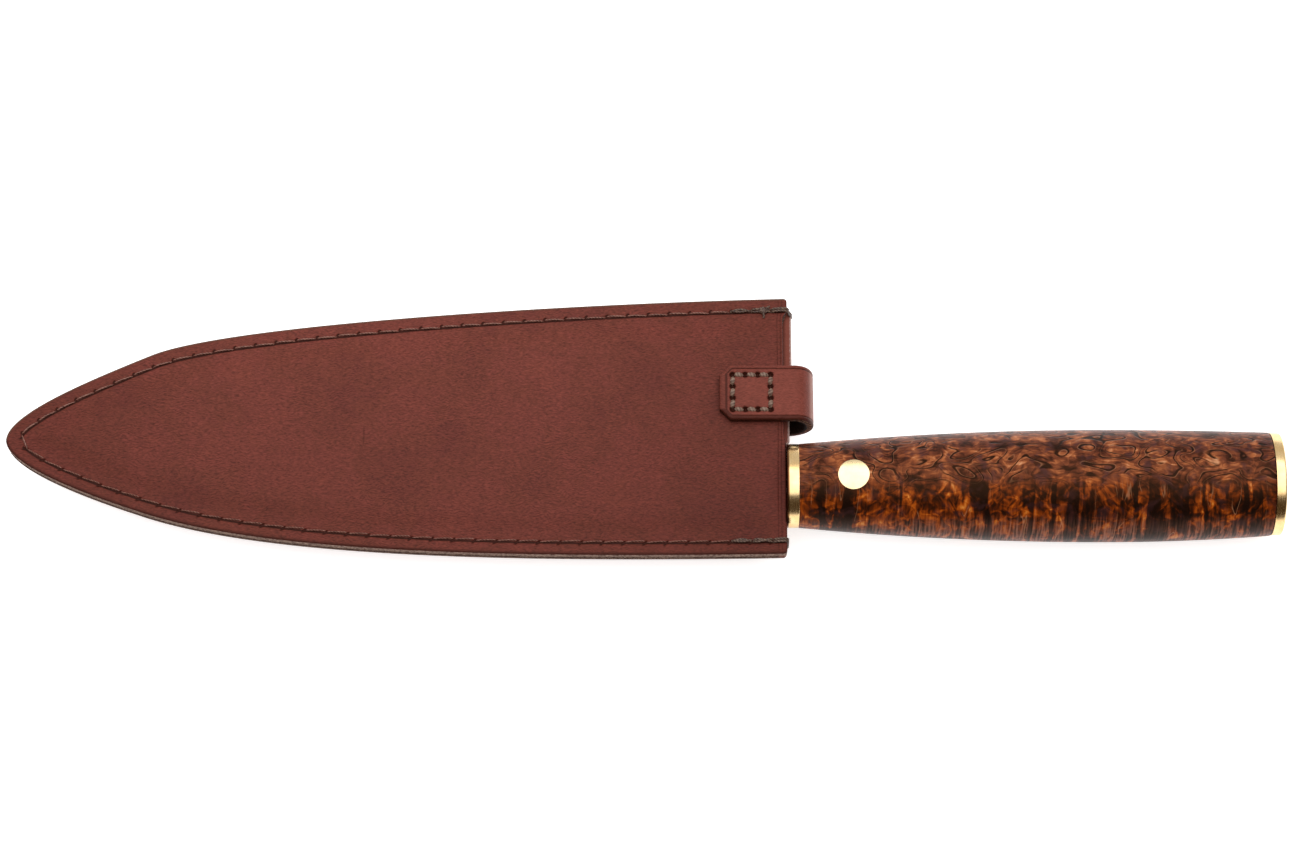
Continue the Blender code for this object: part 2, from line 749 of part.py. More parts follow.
def make_snap(parts):
    """The snap: post and stud on the back panel, socket and cap on the strap's free end."""
    place = (snap_x, strap_y, 0)
    post_seat_z = post_top_z - post_flange_thickness
    bore_end_z = stud_end_z + stud_flange_thickness
    post = [
        (0, post_top_z),
        (post_flange_radius, post_top_z),
        (post_flange_radius, post_seat_z),
        (post_radius, post_seat_z),
        (post_radius, bore_end_z + seat_gap),
        (0, bore_end_z + seat_gap),
    ]
    turned("snap_post", post, place, parts, SNAP_METAL)

    bore = post_radius + seat_gap
    head_z = stud_flange_z - stud_head_drop
    stud = [
        (0, bore_end_z),
        (bore, bore_end_z),
        (bore, stud_top_z),
        (stud_flange_radius, stud_top_z),
        (stud_flange_radius, stud_flange_z),
        (stud_neck_radius, stud_flange_z),
        (stud_head_radius, head_z),
        (stud_neck_radius, (head_z + stud_end_z) / 2),
        (stud_dome_radius, stud_end_z),
        (0, stud_end_z),
    ]
    turned("snap_stud", stud, place, parts, SNAP_METAL)

    socket_bore = stud_head_radius + running_gap
    web_z = socket_end_z + socket_web
    eased = 2 * seat_gap
    shank_hole = cap_shank_radius + seat_gap
    socket = [
        (shank_hole, web_z),
        (socket_bore, web_z),
        (socket_bore, socket_top_z - eased),
        (socket_bore + eased, socket_top_z),
        (socket_radius - eased, socket_top_z),
        (socket_radius, socket_top_z - eased),
        (socket_radius, socket_end_z),
        (shank_hole, socket_end_z),
    ]
    turned("snap_socket", socket, place, parts, SNAP_METAL, closed=True)

    shank_z = (web_z + socket_end_z) / 2
    cap = [
        (0, shank_z),
        (cap_shank_radius, shank_z),
        (cap_shank_radius, cap_top_z),
        (cap_radius - seat_gap, cap_top_z),
        (cap_radius, cap_top_z - seat_gap),
        (cap_radius * 0.9, cap_top_z - cap_height * 0.6),
        (cap_radius * 0.55, cap_top_z - cap_height * 0.9),
        (0, cap_top_z - cap_height),
    ]
    turned("snap_cap", cap, place, parts, SNAP_METAL)


def main():
    """Clears the scene and makes the knife, its sheath and the strap."""
    for old in list(bpy.data.objects):
        bpy.data.objects.remove(old)
    parts = bpy.data.collections.new("gyuto_knife_in_sheath")
    cutters = bpy.data.collections.new("cutters")
    for collection in (parts, cutters):
        bpy.context.scene.collection.children.link(collection)
    make_knife(parts, cutters)
    make_sheath(parts, cutters)
    make_strap(parts, cutters)
    make_snap(parts)


main()
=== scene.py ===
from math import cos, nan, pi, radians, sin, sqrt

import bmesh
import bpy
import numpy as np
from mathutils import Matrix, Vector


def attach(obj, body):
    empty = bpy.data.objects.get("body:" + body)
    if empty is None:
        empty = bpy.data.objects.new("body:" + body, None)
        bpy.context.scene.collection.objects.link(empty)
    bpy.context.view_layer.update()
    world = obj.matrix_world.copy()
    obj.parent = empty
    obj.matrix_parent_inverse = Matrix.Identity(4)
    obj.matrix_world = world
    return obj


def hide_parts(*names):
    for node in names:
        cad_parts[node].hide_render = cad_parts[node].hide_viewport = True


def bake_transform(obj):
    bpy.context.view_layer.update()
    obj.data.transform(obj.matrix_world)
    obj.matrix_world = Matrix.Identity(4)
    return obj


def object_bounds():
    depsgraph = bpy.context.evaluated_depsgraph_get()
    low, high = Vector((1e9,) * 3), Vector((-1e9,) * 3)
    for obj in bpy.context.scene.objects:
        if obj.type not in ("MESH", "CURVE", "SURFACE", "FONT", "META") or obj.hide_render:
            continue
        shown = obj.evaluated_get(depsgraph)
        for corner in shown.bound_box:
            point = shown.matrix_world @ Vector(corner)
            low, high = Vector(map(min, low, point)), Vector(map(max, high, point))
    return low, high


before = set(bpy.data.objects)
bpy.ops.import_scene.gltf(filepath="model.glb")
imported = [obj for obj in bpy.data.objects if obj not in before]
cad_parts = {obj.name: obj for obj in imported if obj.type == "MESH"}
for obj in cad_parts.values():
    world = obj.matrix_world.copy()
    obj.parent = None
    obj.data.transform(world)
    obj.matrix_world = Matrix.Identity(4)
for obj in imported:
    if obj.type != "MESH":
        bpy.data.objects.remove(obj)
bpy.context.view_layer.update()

# The looks of a gyuto lying in its hand-stitched leather sheath. Shapes are worked out in
# millimetres as numpy arrays, in the CAD's frame, and go into their meshes in metres:
# x out of the butt, y from the blade's spine to its edge, z up out of the sheath's front.
# Where both sides of the sheath are made alike, sign is 1 for the edge's and -1 for the spine's.

join = np.concatenate

# Sheath: the mouth, the tip and each side's curves (distances from the mouth and the tip, slopes)
mouth_x, tip_x, tip_y = -125.6, -326.3, 11.7
sides = {
    1: dict(mouth_y=50.33, mouth_slope=1.4, mouth_handle=59.6, back=36.4, out=23.1, slope=23.4,
            to_tip=18.6, to_mouth=20.6, tip_handle=6.9),
    -1: dict(mouth_y=-18.65, mouth_slope=-0.9, mouth_handle=64.5, back=35.5, out=19.4, slope=18.8,
             to_tip=4.7, to_mouth=35.3, tip_handle=7.9),
}
inner_z, outer_z, welt_half = 0.65, 2.35, 0.45
crown_start, crown_end, crown_height = 4.4, 11.5, 0.9
corner_radius, rim_radius, rim_bulge, trim_fade = 1.0, 0.42, 0.05, 9
mouth_crease, crease_apart = 1.8, 0.47
# Seam: how far in it runs, from hole to hole, and from the mouth and the tip to its first holes
seam_inset, stitch_pitch, mouth_hole = 3.4, 5.35, 4.0
tip_hole_back = {1: 1.6, -1: 3.4}
# Strap: its route round the mouth, its section, its box of stitches and the line it folds about
strap_y, strap_half, strap_thick, strap_crease, strap_corner = 23.55, 7.35, 2.2, 1.0, 4.5
strap_root_x, strap_bend_x, strap_end_x = -143.3, -124.0, -147.5
strap_front_z, strap_back_z = 4.55, -8.35
strap_front_bend, strap_back_bend = 4.0, 6.5
box_x, box_wide, box_tall, box_half = -135.05, 4.87, 4.68, 1.5
snap_x, snap_y = -139.5, 23.4
# Knife
handle_front_x, handle_butt_x, belly_x = -122.8, -2.8, -46.0
front_half, belly_half, butt_half, depth_ratio, butt_rise = 10.9, 14.56, 13.4, 0.87, 0.5
ferrule_front_x, wood_front_x = -126.14, -123.15
pin_x, pin_radius, pin_proud = -109.5, 4.0, 0.03
heel_x, heel_radius, choil_y, tang_end_x = -131.6, 2.0, 8.0, -34.8
blade_inset = {1: 10.4, -1: 10.7}
blade_half, edge_half, tip_taper, bevel_high = 1.1, 0.25, 0.0026, 1.5


# Meshes

def placed(name, data, location=(0, 0, 0), tip=0):
    """An object at a location, tipped about x by an angle in radians."""
    made = bpy.data.objects.new(name, data)
    made.location, made.rotation_euler = location, (tip, 0, 0)
    bpy.context.scene.collection.objects.link(made)
    return made


def unit(vectors):
    """The same directions, each one long."""
    return vectors / np.linalg.norm(vectors, axis=-1, keepdims=True)


def full_turn(steps):
    """Even angles once round."""
    return np.linspace(0, 2 * pi, steps, endpoint=False)


def build(name, points, faces, values=None, uv=None, crease=50):
    """A closed mesh from points in mm and arrays of faces, turned to face outwards, at the origin.

    The sign of its volume, the sum of a . (b x c) over the faces' triangles, tells which way it
    faces. values are numbers kept at its points; edges over crease degrees stay sharp.
    """
    points = np.asarray(points, float).reshape(-1, 3) * 0.001
    volume = sum(np.sum(points[f[:, :1]] * np.cross(points[f[:, 1:-1]], points[f[:, 2:]]))
                 for f in faces)
    if volume < 0:
        faces = [part[:, ::-1] for part in faces]
    mesh = bpy.data.meshes.new(name)
    mesh.from_pydata(points.tolist(), [], [face for part in faces for face in part.tolist()])
    for label, numbers in (values or {}).items():
        layer = mesh.attributes.new(label, "FLOAT", "POINT")
        layer.data.foreach_set("value", np.asarray(numbers, np.float32).ravel())
    if uv is not None:
        corners = np.empty(len(mesh.loops), int)
        mesh.loops.foreach_get("vertex_index", corners)
        uv = np.asarray(uv, np.float32).reshape(-1, 2)[corners]
        mesh.uv_layers.new(name="lay").data.foreach_set("uv", uv.ravel())
    mesh.shade_smooth()
    mesh.set_sharp_from_angle(angle=radians(crease))
    return placed(name, mesh)


def quads(rows, columns, closed=False):
    """Corner numbers of a grid's faces: the last column meets the first, closed the rows too."""
    i = np.arange(rows if closed else rows - 1)[:, None]
    j = np.arange(columns)[None, :]
    down, right = (i + 1) % rows, (j + 1) % columns
    corners = (i * columns + j, i * columns + right, down * columns + right, down * columns + j)
    return np.stack(corners, -1).reshape(-1, 4)


def end_lids(rows, columns):
    """The many-sided faces that close a grid's first and last row."""
    rim = np.arange(columns)
    return np.array((rim[::-1], (rows - 1) * columns + rim))


def grid(*parts):
    """Points of a grid from their x, y and z."""
    return np.stack(np.broadcast_arrays(*parts), -1)


def pole_ended(name, points):
    """A closed piece from a grid whose first and last row are poles, or lie on each other."""
    return merged(build(name, points, [quads(*points.shape[:2])]))


def merged(made, distance=0.004):
    """Merges the points that lie on each other, where a surface closes on itself."""
    shape = bmesh.new()
    shape.from_mesh(made.data)
    bmesh.ops.remove_doubles(shape, verts=shape.verts, dist=distance * 0.001)
    bmesh.ops.recalc_face_normals(shape, faces=shape.faces)
    shape.to_mesh(made.data)
    shape.free()
    return made


def tubes(name, lines, wide, tall, up=(0, 0, 1), around=8):
    """Many strands at once: an oval carried along each of several centre lines.

    A ring's point is c + wide cos(t) s + tall sin(t) n, where n is up made square to the line's
    run and s is the run crossed with n. lines is (strands, rings, 3). The map named lay holds the
    share of a turn round the strand and the length along it.
    """
    lines = np.asarray(lines, float)
    count, rings = lines.shape[:2]
    run = unit(np.gradient(lines, axis=1))
    up = np.broadcast_to(np.asarray(up, float), lines.shape)
    normal = unit(up - run * np.sum(up * run, axis=2, keepdims=True))
    side = np.cross(run, normal)
    t = full_turn(around)
    wide, tall = (np.broadcast_to(half, (count, rings))[..., None, None] for half in (wide, tall))
    ring = wide * np.cos(t)[:, None] * side[:, :, None]
    ring = ring + tall * np.sin(t)[:, None] * normal[:, :, None]
    first = (np.arange(count) * rings * around)[:, None, None]
    faces = [(first + part).reshape(-1, part.shape[1])
             for part in (quads(rings, around), end_lids(rings, around))]
    steps = np.linalg.norm(np.diff(lines, axis=1), axis=2)
    along = join((np.zeros((count, 1)), np.cumsum(steps, axis=1)), axis=1)
    uv = grid(t / (2 * pi), along[..., None])
    return build(name, lines[:, :, None] + ring, faces, uv=uv, crease=60)


def turned(name, profile, place):
    """A surface turned about an upright axis: (r cos t, r sin t, z) for a profile of (r, z)."""
    r, z = np.array(profile, float).T[..., None]
    t = full_turn(72)
    return pole_ended(name, grid(place[0] + r * np.cos(t), place[1] + r * np.sin(t), z))


def eased(profile, radius, steps=3):
    """Rounds each inner corner of a profile with a short arc, as a rolled edge has."""
    profile = [np.array(p, float) for p in profile]
    out = [profile[:1]]
    t = np.linspace(0, 1, steps + 1)[:, None]
    for before, here, after in zip(profile, profile[1:], profile[2:]):
        a, b = before - here, after - here
        reach = min(radius, np.linalg.norm(a) * 0.45, np.linalg.norm(b) * 0.45)
        a, b = here + unit(a) * reach, here + unit(b) * reach
        out.append((1 - t) ** 2 * a + 2 * t * (1 - t) * here + t * t * b)
    return join(out + [profile[-1:]])


def smooth(t):
    """0 below 0, 1 above 1, and 3t^2 - 2t^3 between."""
    t = np.clip(t, 0, 1)
    return t * t * (3 - 2 * t)


def arch(t, power):
    """Half a wave, sin(pi t), made steeper at its feet by a power under 1."""
    return np.sin(pi * t) ** power


def bell(distance, width):
    """exp(-(distance / width)^2)."""
    return np.exp(-((distance / width) ** 2))


def rounded(distance, radius):
    """How far a quarter-round edge drops at a distance from the edge."""
    inside = np.clip(radius - distance, 0, radius)
    return radius - np.sqrt(radius * radius - inside * inside)


def ripple(x, y, size, seed):
    """Gentle unevenness from -1 to 1: six crossed sines whose waves are about size mm long."""
    turn = np.random.default_rng(seed).uniform(0, 2 * pi, 12)
    total = 0
    for k, angle in enumerate(turn[:6]):
        wave = 2 * pi / (size * (0.6 + 0.2 * k))
        total = total + np.sin(wave * (x * cos(angle) + y * sin(angle)) + turn[6 + k])
    return total / 6


# Outline and seam of the sheath

def bezier(points):
    """Points of a cubic curve."""
    a, b, c, d = (np.array(p, float) for p in points)
    t = np.linspace(0, 1, 500)[:, None]
    return (1 - t) ** 3 * a + 3 * (1 - t) ** 2 * t * b + 3 * (1 - t) * t**2 * c + t**3 * d


def sheath_side(sign):
    """One side's outline from the mouth to the tip: two cubic curves that meet at its shoulder."""
    s = sides[sign]
    tip, mouth = np.array((tip_x, tip_y)), np.array((mouth_x, s["mouth_y"]))
    shoulder = tip + (s["back"], sign * s["out"])
    run, mouth_run = (np.array((cos(lean), sign * sin(lean)))
                      for lean in map(radians, (s["slope"], s["mouth_slope"])))
    long_side = bezier((mouth, mouth - s["mouth_handle"] * mouth_run,
                        shoulder + s["to_mouth"] * run, shoulder))
    nose = bezier((shoulder, shoulder - s["to_tip"] * run, tip + (0, sign * s["tip_handle"]), tip))
    return join((long_side, nose[1:]))


def travelled(line):
    """Length along a line up to each of its points."""
    return join(([0], np.cumsum(np.linalg.norm(np.diff(line, axis=0), axis=1))))


def picked(places, lengths, line):
    """Points of a line at places, where lengths gives the place of each of its own points."""
    return np.stack([np.interp(places, lengths, line[:, k]) for k in (0, 1)], -1)


def inward(line, sign):
    """Unit normals into the sheath, square to its axis at the mouth and at the tip."""
    run = unit(np.gradient(line, axis=0))
    run[0], run[-1] = (-1, 0), (0, -sign)
    return sign * np.column_stack((-run[:, 1], run[:, 0]))


OUTLINE = {sign: sheath_side(sign) for sign in (1, -1)}
FACING = {sign: inward(OUTLINE[sign], sign) for sign in (1, -1)}
SEAM = {sign: OUTLINE[sign] + seam_inset * FACING[sign] for sign in (1, -1)}
SEAM_LONG = {sign: travelled(SEAM[sign])[-1] - tip_hole_back[sign] - mouth_hole
             for sign in (1, -1)}
STITCHES = {sign: round(SEAM_LONG[sign] / stitch_pitch) for sign in (1, -1)}


def stitch_number(sign):
    """Holes counted along the seam's line from the mouth (0) to the tip's last hole."""
    return (travelled(SEAM[sign]) - mouth_hole) * STITCHES[sign] / SEAM_LONG[sign]


def on_seam(sign, number, inset=0.0):
    """Places on the seam at stitch numbers, moved inset mm further inside."""
    numbers = stitch_number(sign)
    facing = unit(picked(number, numbers, FACING[sign]))
    return picked(number, numbers, SEAM[sign]) + np.asarray(inset)[..., None] * facing


def on_outline(sign, places):
    """Places on the outline at lengths from the mouth, and the unit normals there."""
    lengths = travelled(OUTLINE[sign])
    return picked(places, lengths, OUTLINE[sign]), unit(picked(places, lengths, FACING[sign]))


def crown(xy):
    """How much the leather rises over the blade at points (..., 2)."""
    every = join((OUTLINE[1][::3], OUTLINE[-1][::3]))
    parts = np.array_split(xy.reshape(-1, 2), 40)
    depth = [np.sqrt(((part[:, None] - every) ** 2).sum(-1).min(1)) for part in parts]
    depth = join(depth).reshape(xy.shape[:-1])
    return crown_height * smooth((depth - crown_start) / (crown_end - crown_start))


# Sheath pieces

# Rows of a panel's points near the mouth, and its points inwards from the rim, at distances in mm
near_mouth = np.array((0, 0.04, 0.12, 0.25, 0.4, 0.65, 1.0, 1.2, 1.33, 1.46, 1.65, 1.95, 2.14, 2.27,
                       2.4, 2.6, 2.8, 3.0, 3.3))
near_rim = np.array((0, 0.05, 0.13, 0.25, 0.4, 0.65, 1.0, 1.4, 1.9, 2.3, 2.6, 2.8, 3.0, 3.2, 3.4, 3.6,
                     3.8, 4.0, 4.4))
far_rim = np.array((5.0, 5.7, 6.5, 7.4, 8.3, 9.3, 10.4, 11.6, 13.5, 16, 19, 23, 28, 29.8,
                    31)) - crown_start
past_seam = -20.0  # a stitch number where no stitch is drawn


def mouth_cut(y, mouth, face):
    """How far the leather moves along x, mouth mm away from an even cut at mouth_x.

    The front panel is trimmed back by 0.6 mm, and by as much again above the ferrule. The back one
    is trimmed by 0.65 mm at the ferrule and reaches out by up to 1.2 mm above it. Each part comes
    in with a smooth step along y, and all of them fade away from the mouth and at the edge's end.
    """
    fade = smooth(1 - mouth / trim_fade)
    if face > 0:
        shorter = 0.6 * smooth((y - 11) / 1.5) * np.clip(1 - mouth / 1.3, 0, 1)
        return -(0.6 * fade + shorter) * smooth((47.2 - y) / 2.6)
    longer = 1.1 * smooth((y - 11.2) / 1.1) + 0.75 * smooth((y - 16) / 16)
    return (longer - 0.65) * fade * smooth((48.6 - y) / 2.4)


def wrapped(values, rim, flesh=None):
    """A value over a shell's loops: outer skin, first rim, inner skin and second rim."""
    back = values[:, ::-1] if flesh is None else np.full_like(values, flesh)
    edge = np.full((len(values), 2), rim, float)
    return join((values, edge, back, edge), 1)


def shell_faces(rows, count, both=False):
    """Faces of a shell whose loops hold count points out, two of a rim, count back and two more.

    A strip from the outer to the inner skin closes its first row, and its last row too if both.
    """
    k, last = np.arange(count - 1), 2 * count + 1
    strip = np.column_stack((k + 1, k, last - k, last - k - 1))
    corners = ((count + 2, count + 1, count, count - 1), (0, last + 2, last + 1, last))
    strip = join((strip, corners))
    ends = [strip, strip[:, ::-1] + (rows - 1) * (last + 3)]
    return [quads(rows, last + 3)] + ends[:2 if both else 1]


def panel_rows(sign):
    """Lengths from the mouth at which a panel's rows start on one side's outline."""
    ease = 1 - (1 - np.linspace(0, 1, 250)) ** 1.3
    return join((near_mouth, 4.0 + ease * (travelled(OUTLINE[sign])[-1] - 4.0)))


def panel_half(sign, middle):
    """One half of a panel: a grid of points on rays from the outline towards the middle line.

    Each point holds x, y, its distance inside, the same before the corner was rounded, how much
    it belongs to this side's seam (sign times a number from 0 to 1) and the stitch number, which
    counts up to 0 at the tip.
    """
    places = panel_rows(sign)
    at, normal = on_outline(sign, places)
    inset = rounded(places, corner_radius)[:, None]
    near = near_rim + inset * np.clip(1 - near_rim / 6, 0, 1)
    plan = at[:, None] + near[..., None] * normal[:, None]
    base = plan[:, -1:]
    way = middle[:, None] - base
    reach = np.linalg.norm(way, axis=2)
    order = np.arange(1, len(far_rim) + 1) / (len(far_rim) + 1)
    step = np.minimum(far_rim, reach * order)
    inside = join((near, near[:, -1:] + step), 1)
    plan = join((plan, base + way * (step / reach)[..., None]), 1)
    rim = np.broadcast_to(join((near_rim, crown_start + far_rim)), inside.shape)
    number = np.interp(places, travelled(OUTLINE[sign]), stitch_number(sign)) - STITCHES[sign]
    number = np.broadcast_to(number[:, None], inside.shape)
    lean = sign * np.clip((9 - inside) / 3, 0, 1)
    return np.dstack((plan, inside, rim, lean, number))[:, ::sign]


def panel(name, face):
    """A leather panel: outer and inner skins over the same plan, joined by a cut rim.

    The outer height is the seam's height, plus the crown, less a quarter-round at the rim and the
    mouth, less the groove that the stitches pull into the leather and the two creases along the
    mouth, each a bell of its distance, plus a gentle unevenness.
    """
    middle = sum(on_outline(sign, panel_rows(sign))[0] for sign in (1, -1)) / 2
    length = mouth_x - tip_x
    middle[:, 0] = mouth_x + (middle[:, 0] - mouth_x) * (length - 12) / length
    deep = np.full(len(middle), 34.0)
    centre = np.column_stack((middle, deep, deep, 0 * deep, 0 * deep + past_seam))[:, None]
    every = join((panel_half(1, middle), centre, panel_half(-1, middle)), 1)
    plan = every[..., :2].copy()
    inside, rim, lean, number = np.moveaxis(every[..., 2:], 2, 0)
    from_mouth = panel_rows(1)[:, None]
    mouth = np.broadcast_to(from_mouth, inside.shape)
    rise = crown(plan)
    plan[..., 0] += mouth_cut(plan[..., 1], mouth, face)
    x, y = plan[..., 0], plan[..., 1]
    drop = np.maximum(rounded(rim, rim_radius), rounded(mouth, rim_radius))
    groove = 0.26 * bell(inside - seam_inset - 0.25 * np.sign(lean), 0.55) * (mouth > 0.3)
    groove = groove * (0.8 + 0.2 * np.cos(2 * pi * number))
    crease = 0.08 * bell(np.abs(mouth - mouth_crease) - crease_apart, 0.12)
    uneven = 0.07 * ripple(x, y, 26, 3 if face > 0 else 8) * smooth((inside - 5) / 8)
    outer = outer_z + rise - drop - groove - crease + uneven
    inner = inner_z + rise + rounded(mouth, 0.12)
    top = np.dstack((plan, outer))
    under = np.dstack((plan, inner))[:, ::-1]

    def cut_rim(start, end, bulge):
        """Two lines between the skins' ends, a little proud, which meet at the tip."""
        share = np.array((0.3, 0.7))[:, None]
        lines = start[:, None] * (1 - share) + end[:, None] * share + (0, bulge, 0)
        lines[-1, :, 0] -= rim_bulge
        lines[-1, :, 1] = tip_y
        return lines

    spine_rim = cut_rim(top[:, -1], under[:, 0], -rim_bulge)
    edge_rim = cut_rim(under[:, -1], top[:, 0], rim_bulge)
    loops = join((top, spine_rim, under, edge_rim), 1)
    loops[..., 2] *= face
    skin = np.ones_like(x)
    skin[:, (0, -1)] = 0
    skin = wrapped(skin, 0.0, -1.0)
    skin[0] = 0
    values = {
        "inside": wrapped(inside, 0.0),
        "mouth": wrapped(mouth, from_mouth),
        "stitch": wrapped(number, past_seam - 0.5),
        "lean": wrapped(lean, 0.0),
        "skin": skin,
    }
    return merged(build(name, loops, shell_faces(*top.shape[:2]), values), 0.01)


def welt():
    """The strip between the panels: a flat oblong carried round the outline, a little rough."""
    strips = []
    for sign in (1, -1):
        lengths = travelled(OUTLINE[sign])
        places = join((near_mouth[::2], np.linspace(4, lengths[-1], 240)))
        at, normal = on_outline(sign, places)
        inset = rounded(places, corner_radius) + 0.05 + 0.05 * ripple(at[:, 0], at[:, 1], 3, 5)
        strips.append(np.column_stack((at, normal, inset, places)))
    strip = join((strips[0], strips[1][-2::-1]))
    at, normal, inset, mouth = strip[:, None, :2], strip[:, None, 2:4], strip[:, 4:5], strip[:, 5:]
    # Half its section: distance inwards and height
    section = np.array(((0, 0.3), (0.1, 0.42), (0.4, welt_half), (3.0, welt_half), (6.0, welt_half),
                        (7.2, 0.3)))
    section = join((section, section[::-1] * (1, -1)))
    wide = section[:, 0]
    xy = at + (inset * np.clip(1 - wide / 6, 0, 1) + wide)[..., None] * normal
    xy[..., 0] += mouth_cut(xy[..., 1], mouth, 1) - 0.1 * smooth(1 - mouth / trim_fade)
    points = grid(xy[..., 0], xy[..., 1], section[:, 1])
    size = points.shape[:2]
    values = {"inside": np.zeros(size), "skin": np.zeros(size)}
    return build("welt_leather", points, [quads(*size), end_lids(*size)], values)


def seam(name, face):
    """All plain stitches of one face, each a strand from hole to hole, and the one across the tip.

    Sideways a strand goes by a smooth step from end to start, in mm inside the seam's line; in
    height it follows an arch that dives into the hole at each end.
    """
    t = np.linspace(0, 1, 8)
    bow = arch(t, 0.6)
    lines = []
    for sign, start, end in ((1, -0.14, 0.04), (-1, 0.0, 0.24)):
        holes = np.arange(2, STITCHES[sign])[:, None]
        sideways = end + 0.07 * np.sin(holes * 2.4 + sign) + (start - end) * smooth(t)
        at = on_seam(sign, holes + 0.04 + 0.92 * t, sideways)
        lines.append(grid(at[..., 0], at[..., 1], outer_z - 0.34 + 0.4 * bow))
    top, low = on_seam(1, [STITCHES[1] + 0.02]), on_seam(-1, [STITCHES[-1] - 0.02])
    across = top * (1 - t[:, None]) + low * t[:, None]
    lines.append(np.column_stack((across, outer_z - 0.3 + 0.5 * bow))[None])
    lines = join(lines)
    lines[..., 2] *= face
    taper = 0.62 + 0.38 * arch(t, 0.5)
    wide = np.full((len(lines), 1), 0.23)
    wide[STITCHES[1] - 2:-1] = 0.2
    return tubes(name, lines, wide * taper, 0.28 * taper, up=(0, 0, face))


def mouth_stitches(name, sign):
    """The doubled stitches at a mouth corner, and the strand that wraps over the mouth's edge."""
    t = np.linspace(0, 1, 10)
    lines = []
    for face in (1, -1):
        for hole, weave in ((0, 0.34), (0, -0.34), (1, 0.3), (1, -0.3)):
            sideways = weave * np.cos(pi * t * 1.3 + hole) - 0.15 * sign
            at = on_seam(sign, hole + 0.04 + 0.94 * t, sideways)
            height = outer_z - 0.2 + (0.62 if weave > 0 else 0.5) * arch(t, 0.5)
            lines.append(np.column_stack((at, face * height)))
    wide = 0.31 * (0.75 + 0.25 * arch(t, 0.5))
    made = tubes(f"{name}_double", lines, wide, wide * 0.9)
    (x, y), = on_seam(sign, [0.0])
    # The wrap's route (x, z) over the front's half and back under the other one
    bows = [mouth_x + reach for reach in ((0.33, 1.2) if sign > 0 else (-0.4, -0.4))]
    halves = [np.array(((x, 2.1), (x + 0.5, 2.65), (x + 2, 2.85), (bow - 1.1, 2.75), (bow - 0.35, 2.5),
                        (bow, 1.9), (bow, 1.0), (sum(bows) / 2, 0.0))) for bow in bows]
    outward = np.array(((0, 1), (-0.3, 1), (0, 1), (0.2, 1), (0.7, 0.7), (1, 0.2), (1, 0), (1, 0)))
    route, outward = (join((front, back[-2::-1] * (1, -1)))
                      for front, back in (halves, (outward, outward)))
    sway = 0.25 * np.sin(np.linspace(0, 2 * pi, len(route)))
    lines = [np.column_stack((route[:, 0], y + shift + sway, route[:, 1])) for shift in (-0.3, 0.34)]
    up = np.column_stack((outward[:, 0], 0 * sway, outward[:, 1]))
    return [made, tubes(f"{name}_wrap", lines, 0.33, 0.3, up=up, around=10)]


def knot():
    """The knot that ends the thread on the edge side: a ball of crossed strands with cut ends."""
    (at,) = on_seam(1, [0.42])
    t = np.linspace(0, 1, 12)
    lines = []
    for turn, reach in ((0.4, 0.9), (1.5, 0.8), (2.5, 0.9)):
        along = (2 * t - 1) * reach
        lines.append((along * cos(turn), along * sin(turn), 0.35 * arch(t, 1) - 0.12))
    lines.append((0.25 * np.sin(2 * t), -0.3 - 1.7 * t, 0.25 - 0.45 * t))
    lines.append((0.7 + 1.1 * t, 0.5 + 0.7 * t, 0.15 - 0.3 * t))
    lines = np.moveaxis(np.array(lines), 1, 2) + (*at, outer_z + 0.5)
    ball = 0 * t + 0.42
    wide = np.array((ball, ball, ball, 0.36 - 0.08 * t, 0.32 - 0.1 * t))
    return tubes("thread_knot", lines, wide, wide * 0.9)


# Strap and snap

def strap_route():
    """The strap's middle line (x, z) at even steps: straight, two quarter ovals, straight back."""
    rise, middle = (strap_front_z - strap_back_z) / 2, (strap_front_z + strap_back_z) / 2
    turn = np.linspace(0, pi / 2, 200)
    front = np.column_stack(
        (strap_bend_x + strap_front_bend * np.sin(turn), middle + rise * np.cos(turn)))
    back = np.column_stack((strap_bend_x + strap_front_bend - strap_back_bend * (1 - np.cos(turn)),
                            middle - rise * np.sin(turn)))
    ends = [(strap_root_x, strap_front_z)], [(strap_end_x, strap_back_z)]
    line = join((ends[0], front, back[1:], ends[1]))
    length = travelled(line)
    close = np.array((0, 0.05, 0.13, 0.25, 0.4, 0.6, 0.8, 0.95))
    even = np.arange(1.1, length[-1] - 1.0, 0.27)
    places = join((close, even, length[-1] - close[::-1]))
    return picked(places, length, line), places


